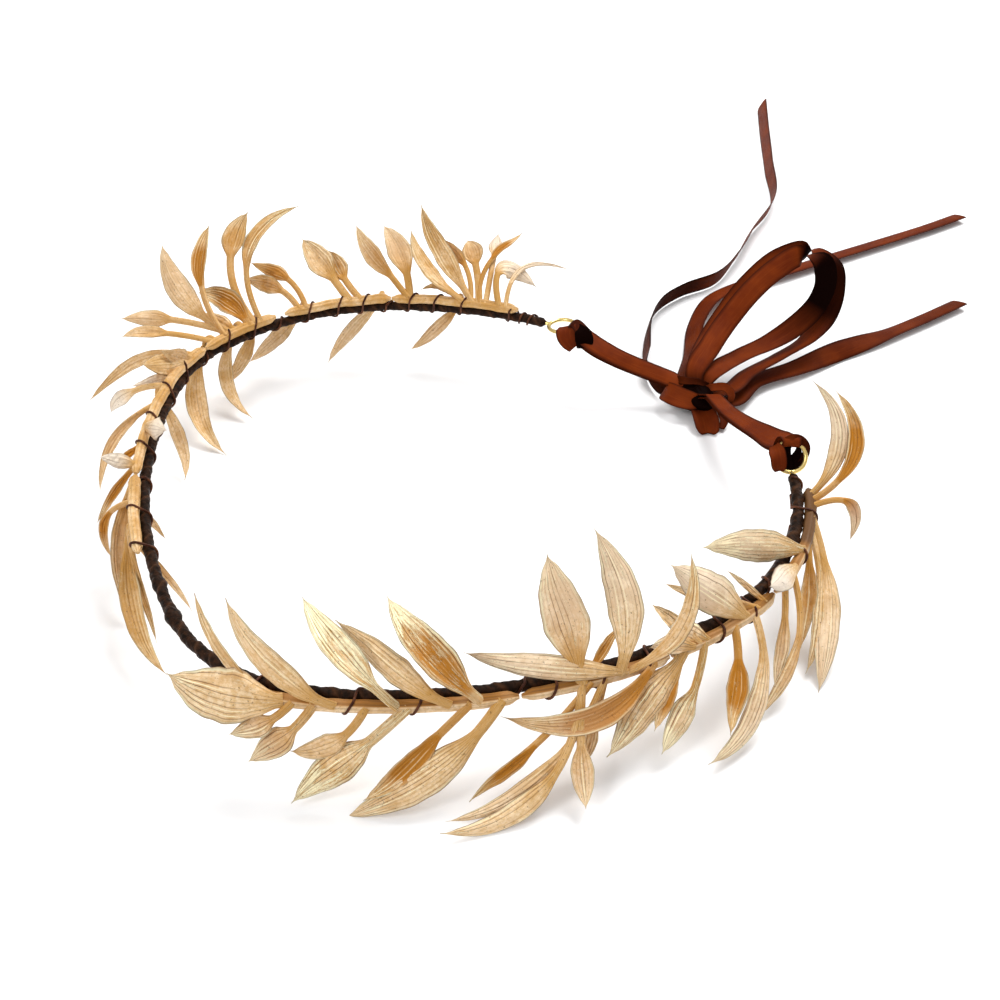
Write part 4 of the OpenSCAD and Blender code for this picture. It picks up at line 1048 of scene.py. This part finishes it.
def gilt_material():
    """Gilded dry foliage: pale and ochre paint over the blade, amber in the hollows, bright foil in
    flakes, painted highlights in the foil's colour on ribs and along the edges, dark lines in the
    grooves between ribs, dark spots, thin dark edges and tips. Each groove and each rib of a leaf
    has its own chance to be marked, and foil and its painted highlights are scarcer on stalks and
    stems."""
    made, tree, shader = material("Gilded_foliage")
    size = bpy.context.scene.wreath_leaves
    uv = add(tree, "UVMap", {"uv_map": "UVMap"})
    here = add(tree, "TexCoord", outlet=3)
    amber, foil, pale = mark(tree, "look")
    tone, stalk, edge = mark(tree, "place")
    along, rib_at, _ = split(tree, uv)
    streak, crinkle = use(tree, streaks(), Grain=uv, Along=0.9, Across=2.6, Tone=tone)
    hair = use(tree, streaks(), Grain=uv, Along=0.5, Across=9.0, Tone=tone)["Streak"]
    further = calc(tree, "ADD", tone, 3.0)
    long_way = use(tree, streaks(), Grain=uv, Along=0.7, Across=0.9, Tone=further)["Streak"]
    drawn = add(tree, "CombineXYZ", _0=product(tree, along, 2.6), _1=product(tree, rib_at, 1.5),
                _2=product(tree, tone, 53.0))
    flake = use(tree, flecks(), Place=drawn, Amount=foil)["Flake"]
    broad = noise(tree, here, 120.0, 3.0, 0.55)
    spots = noise(tree, here, 1900.0, 3.0, 0.65)

    ribs = calc(tree, "COSINE", product(tree, rib_at, 2 * math.pi))
    seed = product(tree, tone, 91.0)
    groove_no, ridge_no = rib_at, calc(tree, "ADD", rib_at, 0.5)
    vein = product(tree, spread(tree, product(tree, ribs, -1.0), 0.66, 0.98),
                   spread(tree, streak, 0.33, 0.55),
                   spread(tree, chance(tree, groove_no, seed, 1.0), 0.15, 0.7, 0.2, 1.0))
    # Painted highlights: bright broken lines on the tops of some ribs.
    ridge_highlight = product(tree, spread(tree, ribs, 0.50, 0.95), spread(tree, long_way, 0.43, 0.53),
                    spread(tree, chance(tree, ridge_no, seed, 2.0), 0.4, 0.8, 0.05, 1.0))
    # Painted highlights along the edges, just inside the dark outline, fading out on stalks.
    lip = product(tree, spread(tree, edge, 0.0, 0.25), spread(tree, streak, 0.42, 0.58),
                  spread(tree, stalk, 0.0, 0.3, 1.0, 0.0))
    # Strength of the painted highlights, by the leaf's foil.
    highlight_strength = calc(tree, "MULTIPLY_ADD", foil, 2.4, 0.2)
    shine = product(tree, calc(tree, "MAXIMUM", ridge_highlight, lip), highlight_strength, clamp=True)
    shine = product(tree, shine, spread(tree, stalk, 0.1, 0.6, 1.0, 0.12))
    less = calc(tree, "MAXIMUM", product(tree, pale, 0.6), product(tree, amber, 0.45))
    # Foil flakes together with the painted highlights on ribs and edges.
    gold = product(tree, calc(tree, "MAXIMUM", product(tree, flake, 0.7), shine),
                   calc(tree, "SUBTRACT", 1.0, less), clamp=True)
    dark = calc(tree, "MAXIMUM", product(tree, edge, 0.72, clamp=True),
                spread(tree, spots, 0.63, 0.69, 0.0, 0.7))

    worn = calc(tree, "MULTIPLY_ADD", stalk, 0.9, tone)
    # Over the paint: amber, straw, foil flakes with the painted highlights, veins, dark edges and spots.
    base = coats(tree, tuple(size.pale), (spread(tree, crinkle, 0.35, 0.65), size.warm),
                 (spread(tree, broad, 0.45, 0.61, 0.0, 0.6), size.ochre),
                 (spread(tree, worn, 0.5, 1.7, 0.0, 0.75), size.ochre),
                 (spread(tree, hair, 0.5, 0.72, 0.0, 0.35), size.ochre),
                 (product(tree, amber, 1.4, clamp=True), size.amber), (pale, size.straw), (gold, size.foil),
                 (product(tree, vein, spread(tree, foil, 0.08, 0.35, 0.36, 0.92)), size.vein),
                 (dark, size.edge))
    metal = calc(tree, "MULTIPLY_ADD", gold, 0.2, 0.02)
    rough = calc(tree, "MULTIPLY_ADD", gold, -0.22, calc(tree, "MULTIPLY_ADD", crinkle, 0.25, 0.36))
    relief = calc(tree, "MULTIPLY_ADD", crinkle, 0.9, product(tree, vein, -0.4))
    relief = calc(tree, "MULTIPLY_ADD", flake, 0.25, relief)
    coat(tree, shader, base, rough, shine=0.2, metal=metal, relief=relief, deep=0.0002, strength=0.8)
    return made


def tape_material():
    """Dark brown crinkled paper tape, lighter along the lips of its winds."""
    made, tree, shader = material("Floral_tape")
    size = bpy.context.scene.wreath_hoop
    uv = add(tree, "UVMap", {"uv_map": "UVMap"})
    lip, _, crease = mark(tree, "look")
    pulp = noise(tree, add(tree, "TexCoord", outlet=3), 700.0, 6.0, 0.7)
    _, crinkle = use(tree, streaks(), Grain=uv, Along=14.0, Across=9.0, Tone=0.3)
    base = coats(tree, tuple(size.dark), (spread(tree, pulp, 0.35, 0.7), size.tape),
                 (product(tree, lip, 0.45, clamp=True), size.lip))
    rough = spread(tree, crinkle, 0.3, 0.7, 0.32, 0.6)
    relief = calc(tree, "MULTIPLY_ADD", crease, 0.2, calc(tree, "ADD", pulp, crinkle))
    coat(tree, shader, base, rough, shine=0.06, relief=relief, deep=0.0003, strength=0.8)
    return made


def wire_material():
    """Thin brown wire: lacquered, with rubbed places."""
    made, tree, shader = material("Brown_binding_wire")
    size = bpy.context.scene.wreath_wire
    cloud = noise(tree, add(tree, "TexCoord", outlet=3), 500.0, 4.0, 0.6)
    base = coats(tree, tuple(size.dark), (spread(tree, cloud, 0.4, 0.65), size.rubbed))
    rough = spread(tree, cloud, 0.3, 0.7, 0.3, 0.5)
    coat(tree, shader, base, rough, shine=0.12, metal=0.1, relief=cloud, deep=0.00005)
    return made


def brass_material():
    """Bright brass wire with faint draw marks and a little tarnish."""
    made, tree, shader = material("Brass_wire")
    size = bpy.context.scene.wreath_wire
    here = add(tree, "TexCoord", outlet=3)
    cloud = noise(tree, here, 260.0, 3.0, 0.5)
    base = coats(tree, tuple(size.brass), (spread(tree, cloud, 0.4, 0.75), size.tarnish))
    fine = noise(tree, here, 2600.0, 3.0, 0.6)
    rough = spread(tree, cloud, 0.3, 0.8, 0.2, 0.42)
    coat(tree, shader, base, rough, metal=0.9, relief=fine, deep=0.00002, strength=0.5)
    return made


def satin_material():
    """Red-brown satin: fine lines across, random clouds of painted shade and streaks of painted sheen
    in shaded and lit copies of its colour, dark woven edges that are partly painted shade, and
    near-black painted shade inside the folds and wherever a piece is shaded.
    """
    made, tree, shader = material("Satin_ribbon")
    size = bpy.context.scene.wreath_ribbon
    uv = add(tree, "UVMap", {"uv_map": "UVMap"})
    rim, _, shade = mark(tree, "look")
    weft = add(tree, "TexWave", {"bands_direction": "X"}, 1, Vector=uv, Scale=20.0, Distortion=0.6,
               Detail=2.0)
    cloud = noise(tree, add(tree, "TexCoord", outlet=3), 120.0, 3.0, 0.5)
    streak, crinkle = use(tree, streaks(), Grain=uv, Along=1.2, Across=14.0, Tone=0.7)
    # Clouds of painted shade, streaks of painted sheen, dark edges partly painted shade, and near-black
    # painted shade by the shade mark.
    base = coats(tree, tuple(size.satin), (spread(tree, cloud, 0.3, 0.7), size.fold),
                 (spread(tree, streak, 0.45, 0.75, 0.0, 0.35), size.lit),
                 (product(tree, rim, 0.92), size.selvedge_and_shade), (shade, size.deep))
    rough = spread(tree, streak, 0.3, 0.7, 0.42, 0.56)
    shine = calc(tree, "MULTIPLY_ADD", shade, -0.02, 0.025)
    relief = calc(tree, "MULTIPLY_ADD", weft, 0.3, crinkle)
    coat(tree, shader, base, rough, shine=shine, relief=relief, deep=0.00006, strength=0.6)
    return made


# Sizes and colours


def colour(name, text, value):
    """A colour that a user may change."""
    return bpy.props.FloatVectorProperty(name=name, description=text, default=value + (1.0,), size=4,
                                         subtype="COLOR", min=0.0, max=1.0)


def length(name, text, value, low, high):
    """A length that a user may change, in metres."""
    return bpy.props.FloatProperty(name=name, description=text, default=value, min=low, max=high,
                                   unit="LENGTH", subtype="DISTANCE", precision=5)


class WreathHoopSizes(bpy.types.PropertyGroup):
    """The taped wire hoop."""
    thickness: length("Thickness", "Thickness of the taped wire", 0.0026, 0.0024, 0.003)
    tape_pitch: length("Tape pitch", "Advance of the tape in one wind", 0.0068, 0.004, 0.012)
    tape: colour("Tape", "Colour of the tape", (0.036, 0.014, 0.006))
    dark: colour("Dark tape", "Colour of the tape in its creases", (0.006, 0.003, 0.0015))
    lip: colour("Tape lip", "Colour of the lip of a wind", (0.100, 0.042, 0.018))


class WreathLeafSizes(bpy.types.PropertyGroup):
    """The gilded sprigs."""
    thickness: length("Thickness", "Thickness of a leaf's blade", 0.00045, 0.0003, 0.0008)
    rib_depth: length("Rib depth", "Half the height of a leaf's ribs", 0.00007, 0.0, 0.0003)
    stem_share: bpy.props.FloatProperty(
        name="Stem", description="Thickness of the stems as a share of the part's", default=1.08,
        min=0.8, max=1.15, subtype="FACTOR")
    pale: colour("Pale gold", "Paint on the ribs of a leaf", (0.86, 0.64, 0.39))
    warm: colour("Warm gold", "Paint where it is thin", (0.68, 0.42, 0.17))
    ochre: colour("Ochre", "Thin paint and stalks", (0.49, 0.245, 0.045))
    vein: colour("Vein", "Dark lines in the grooves between ribs", (0.150, 0.062, 0.018))
    # Also the colour of the painted highlights on ribs and along the edges.
    foil: colour("Foil", "Bright flakes of foil", (1.00, 0.93, 0.62))
    amber: colour("Amber", "Bare hollows of a leaf", (0.43, 0.165, 0.010))
    straw: colour("Straw", "Unpainted papery blade", (0.84, 0.76, 0.66))
    edge: colour("Edge", "Thin edge and tip of a leaf", (0.100, 0.046, 0.017))


class WreathWireSizes(bpy.types.PropertyGroup):
    """The binding wire and the two eyes."""
    thickness: length("Thickness", "Thickness of the binding wire", 0.0006, 0.0003, 0.0009)
    turn_length: length("Turn", "Advance along the hoop in one turn", 0.0078, 0.002, 0.012)
    dark: colour("Wire", "Colour of the binding wire", (0.040, 0.011, 0.005))
    rubbed: colour("Rubbed wire", "Colour where the wire is rubbed", (0.12, 0.042, 0.018))
    brass: colour("Brass", "Colour of the eyes", (0.86, 0.66, 0.25))
    tarnish: colour("Tarnish", "Colour of the eyes where they are dull", (0.45, 0.33, 0.12))


class WreathRibbonSizes(bpy.types.PropertyGroup):
    """The satin ribbon."""
    width: length("Width", "Width of the ribbon", 0.0065, 0.006, 0.007)
    thickness: length("Thickness", "Thickness of the ribbon", 0.00042, 0.0002, 0.0008)
    satin: colour("Satin", "Colour of the ribbon", (0.168, 0.027, 0.004))
    # Painted sheen: a lit copy of the satin, laid in streaks along the grain.
    lit: colour("Lit satin", "Colour of its lighter threads", (0.230, 0.045, 0.009))
    # Painted shade: a shaded copy of the satin, laid in random clouds.
    fold: colour("Fold", "Colour where it is darker", (0.105, 0.015, 0.003))
    # The woven edges, darkened further by painted shade along them.
    selvedge_and_shade: colour("Selvedge", "Colour of its edges", (0.022, 0.004, 0.002))
    # Near-black painted shade inside the folds, in the knot and on the shaded stretches.
    deep: colour("Deep fold", "Colour deep inside the folds", (0.004, 0.001, 0.0007))


class WreathStageSizes(bpy.types.PropertyGroup):
    """The floor and the lights."""
    floor: colour("Floor", "Colour of the floor", (0.93, 0.93, 0.935))
    sky: bpy.props.FloatProperty(name="Fill", description="Strength of the fill from all round",
                                 default=0.80, min=0.0, max=3.0)
    key: bpy.props.FloatProperty(name="Key", description="Power of the main soft light in watts",
                                 default=9.0, min=0.0, max=100.0, unit="POWER")
    side: bpy.props.FloatProperty(name="Side", description="Power of the side light in watts",
                                  default=3.0, min=0.0, max=100.0, unit="POWER")


# Operators


class WREATH_OT_stage(bpy.types.Operator):
    """Puts up the camera at the photograph's angle, a plain pale floor and soft studio light"""
    bl_idname = "wreath.stage"
    bl_label = "Stage"

    def execute(self, context):
        size = context.scene.wreath_stage
        scene = context.scene
        camera = bpy.data.objects.new("camera", bpy.data.cameras.new("camera"))
        scene.collection.objects.link(camera)
        camera.data.lens = LENS_MM
        camera.data.sensor_width = SENSOR_MM
        camera.data.clip_start = 0.01
        camera.location = Vector((VIEW_TARGET + FACE * VIEW_DISTANCE) * MM)
        camera.rotation_euler = Vector(-FACE).to_track_quat("-Z", "Y").to_euler()
        scene.camera = camera
        scene.view_settings.view_transform = "Standard"

        floor = bpy.data.meshes.new("floor")
        r = FLOOR_REACH
        floor.from_pydata([(-r, -r, 0), (r, -r, 0), (r, r, 0), (-r, r, 0)], [], [(0, 1, 2, 3)])
        made, tree, shader = material("Pale_floor")
        cloud = noise(tree, add(tree, "TexCoord", outlet=3), 3.0, 2.0, 0.5)
        base = coats(tree, tuple(size.floor), (spread(tree, cloud, 0.3, 0.7, 0.0, 0.15), FLOOR_CLOUD))
        coat(tree, shader, base, rough=0.9, shine=0.1)
        floor.materials.append(made)
        plane = bpy.data.objects.new("floor", floor)
        scene.collection.objects.link(plane)

        world = bpy.data.worlds.new("studio")
        world.use_nodes = True
        scene.world = world
        tree = world.node_tree
        back = tree.nodes["Background"]
        height = split(tree, add(tree, "TexCoord"))[2]
        sky = coats(tree, SKY_LOW, (spread(tree, height, -0.1, 0.7), SKY_HIGH))
        tree.links.new(sky, back.inputs[0])
        back.inputs[1].default_value = size.sky

        away = -unit(FACE * np.array([1, 1, 0]))
        for name, wide, ahead, aside, high in LAMPS:
            lamp = bpy.data.lights.new(name + "_light", "AREA")
            lamp.energy = getattr(size, name)
            lamp.shape = "DISK"
            lamp.size = wide
            place = Vector(away * ahead + RIGHT * aside + UPWARD * high)
            obj = bpy.data.objects.new(name + "_light", lamp)
            obj.location = place
            obj.rotation_euler = place.to_track_quat("Z", "Y").to_euler()
            scene.collection.objects.link(obj)
        return {"FINISHED"}


class WREATH_OT_ribbon(bpy.types.Operator):
    """Ties the satin ribbon: two strands from the eyes, the knot, two loops and three tails"""
    bl_idname = "wreath.ribbon"
    bl_label = "Ribbon and bow"

    def execute(self, context):
        size = context.scene.wreath_ribbon
        width = size.width / MM
        thick = size.thickness / MM
        satin = satin_material()
        knot = put("knot_folds", [knot_core(), *folds(KNOT_FOLDS, KNOT, width, thick)], satin,
                   "bow_knot")

        for name, eye, route, over, shade, cord_d in STRANDS:
            middle, ribbon = strand(eye, route, width, thick, shade)
            ring, far = eye_axes(eye)
            fold = put(name.replace("strand", "eye") + "_fold",
                       folds(over, far - ring * EYE_D / 2, width, thick), satin, None)
            self.lay(name, ribbon, satin, middle, "knot", [knot, fold], cord_d)

        for name, route, shades in LOOPS:
            line, wish = even_line(into_knot(route, True))
            crown = wavering(line, *LOOP_CROWN)
            gone = np.linspace(0, 1, len(line)) * distances(line)[-1]
            near_knot = 1 - smooth(np.minimum(gone, gone[-1] - gone) / KNOT_SHADE_RUN)
            # Painted shade: next to the knot, and along the loop by its table.
            dark = np.maximum(near_knot * KNOT_SHADE, np.interp(gone / gone[-1], *np.array(shades).T))
            ribbon = band(line, wish, waist(line, width, True), thick, crown, dark, line.mean(0))
            self.lay(name, ribbon, satin, line, "knot", [knot])

        for name, route, shades in TAILS:
            line, wish = even_line(into_knot(route, False))
            crown = wavering(line, *TAIL_CROWN)
            # Painted shade along the tail, by its table.
            dark = np.interp(np.linspace(0, 1, len(line)), *np.array(shades).T)
            ribbon = band(line, wish, waist(line, width, False), thick, crown, dark)
            self.lay(name, ribbon, satin, line, "bare", [])
        return {"FINISHED"}

    def lay(self, name, ribbon, satin, line, far_end, others, wide=CORD_D):
        """Puts a piece of ribbon in place of its node."""
        piece = put(name + "_satin", [ribbon], satin, name)
        float(distances(line)[-1]) * MM


class WREATH_OT_hoop(bpy.types.Operator):
    """Makes the wire hoop, wound in dark paper tape"""
    bl_idname = "wreath.hoop"
    bl_label = "Taped hoop"

    def execute(self, context):
        put("taped_hoop", [taped_hoop()], tape_material(), "hoop", sharp=60.0)
        return {"FINISHED"}


class WREATH_OT_sprigs(bpy.types.Operator):
    """Makes the nine gilded sprigs: stems and leaves"""
    bl_idname = "wreath.sprigs"
    bl_label = "Gilded sprigs"

    def execute(self, context):
        gilt = gilt_material()
        for number, (node, start, end, leaves, looks) in enumerate(SPRIGS):
            rng = np.random.default_rng(100 + number)
            grows = 1 if end > start else -1
            known = {row: rest for row, *rest in looks}
            foil = PLAIN_FOIL[number >= FIRST_RIGHT_SPRIG]
            parts = []
            for i, row in enumerate(leaves):
                plain = (rng.uniform(0, PLAIN_AMBER), rng.uniform(*foil), rng.uniform(0, PLAIN_PALE))
                parts.append(leaf(row, grows, known.get(i, plain), rng))
            parts.append(stem(start, end, leaves, rng))
            put(node.replace("sprig", "foliage"), parts, gilt, node)
        return {"FINISHED"}


class WREATH_OT_wire(bpy.types.Operator):
    """Winds the thin brown wire round the hoop and the stems"""
    bl_idname = "wreath.wire"
    bl_label = "Binding wire"

    def execute(self, context):
        size = context.scene.wreath_wire
        radius = size.thickness / MM / 2
        parts = [skin(tube(wire_line(*run), radius, WIRE_SIDES)) for run in WIRE_RUNS]
        put("wound_binding_wire", parts, wire_material(), "binding_wire")
        return {"FINISHED"}


class WREATH_OT_eyes(bpy.types.Operator):
    """Finishes the two brass wire eyes"""
    bl_idname = "wreath.eyes"
    bl_label = "Wire eyes"

    def execute(self, context):
        brass = brass_material()
        for name in ("left_eye", "right_eye"):
            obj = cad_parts[name]
            for held in obj.material_slots:
                held.material = brass
        return {"FINISHED"}


SIZES = {"wreath_hoop": WreathHoopSizes, "wreath_leaves": WreathLeafSizes,
         "wreath_wire": WreathWireSizes, "wreath_ribbon": WreathRibbonSizes,
         "wreath_stage": WreathStageSizes}

OPERATORS = [WREATH_OT_stage, WREATH_OT_ribbon, WREATH_OT_hoop, WREATH_OT_sprigs, WREATH_OT_wire,
             WREATH_OT_eyes]


class WREATH_PT_pieces(bpy.types.Panel):
    """The wreath's pieces, with their sizes and colours"""
    bl_idname = "WREATH_PT_pieces"
    bl_label = "Laurel wreath crown"
    bl_space_type = "VIEW_3D"
    bl_region_type = "UI"
    bl_category = "Wreath"

    def draw(self, context):
        for maker in OPERATORS:
            self.layout.operator(maker.bl_idname)
        for name, kind in SIZES.items():
            box = self.layout.box()
            for key in kind.__annotations__:
                box.prop(getattr(context.scene, name), key)


def register():
    """Registers the sizes, the operators and the panel."""
    for name, kind in SIZES.items():
        bpy.utils.register_class(kind)
        setattr(bpy.types.Scene, name, bpy.props.PointerProperty(type=kind))
    for kind in [*OPERATORS, WREATH_PT_pieces]:
        bpy.utils.register_class(kind)


def unregister():
    """Takes them off again."""
    for kind in [WREATH_PT_pieces, *OPERATORS]:
        bpy.utils.unregister_class(kind)
    for name, kind in SIZES.items():
        delattr(bpy.types.Scene, name)
        bpy.utils.unregister_class(kind)


def main():
    """Makes the whole scene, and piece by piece."""
    register()
    bpy.ops.wreath.stage()
    bpy.ops.wreath.ribbon()
    bpy.ops.wreath.hoop()
    bpy.ops.wreath.sprigs()
    bpy.ops.wreath.wire()
    bpy.ops.wreath.eyes()


if __name__ == "__main__":
    main()
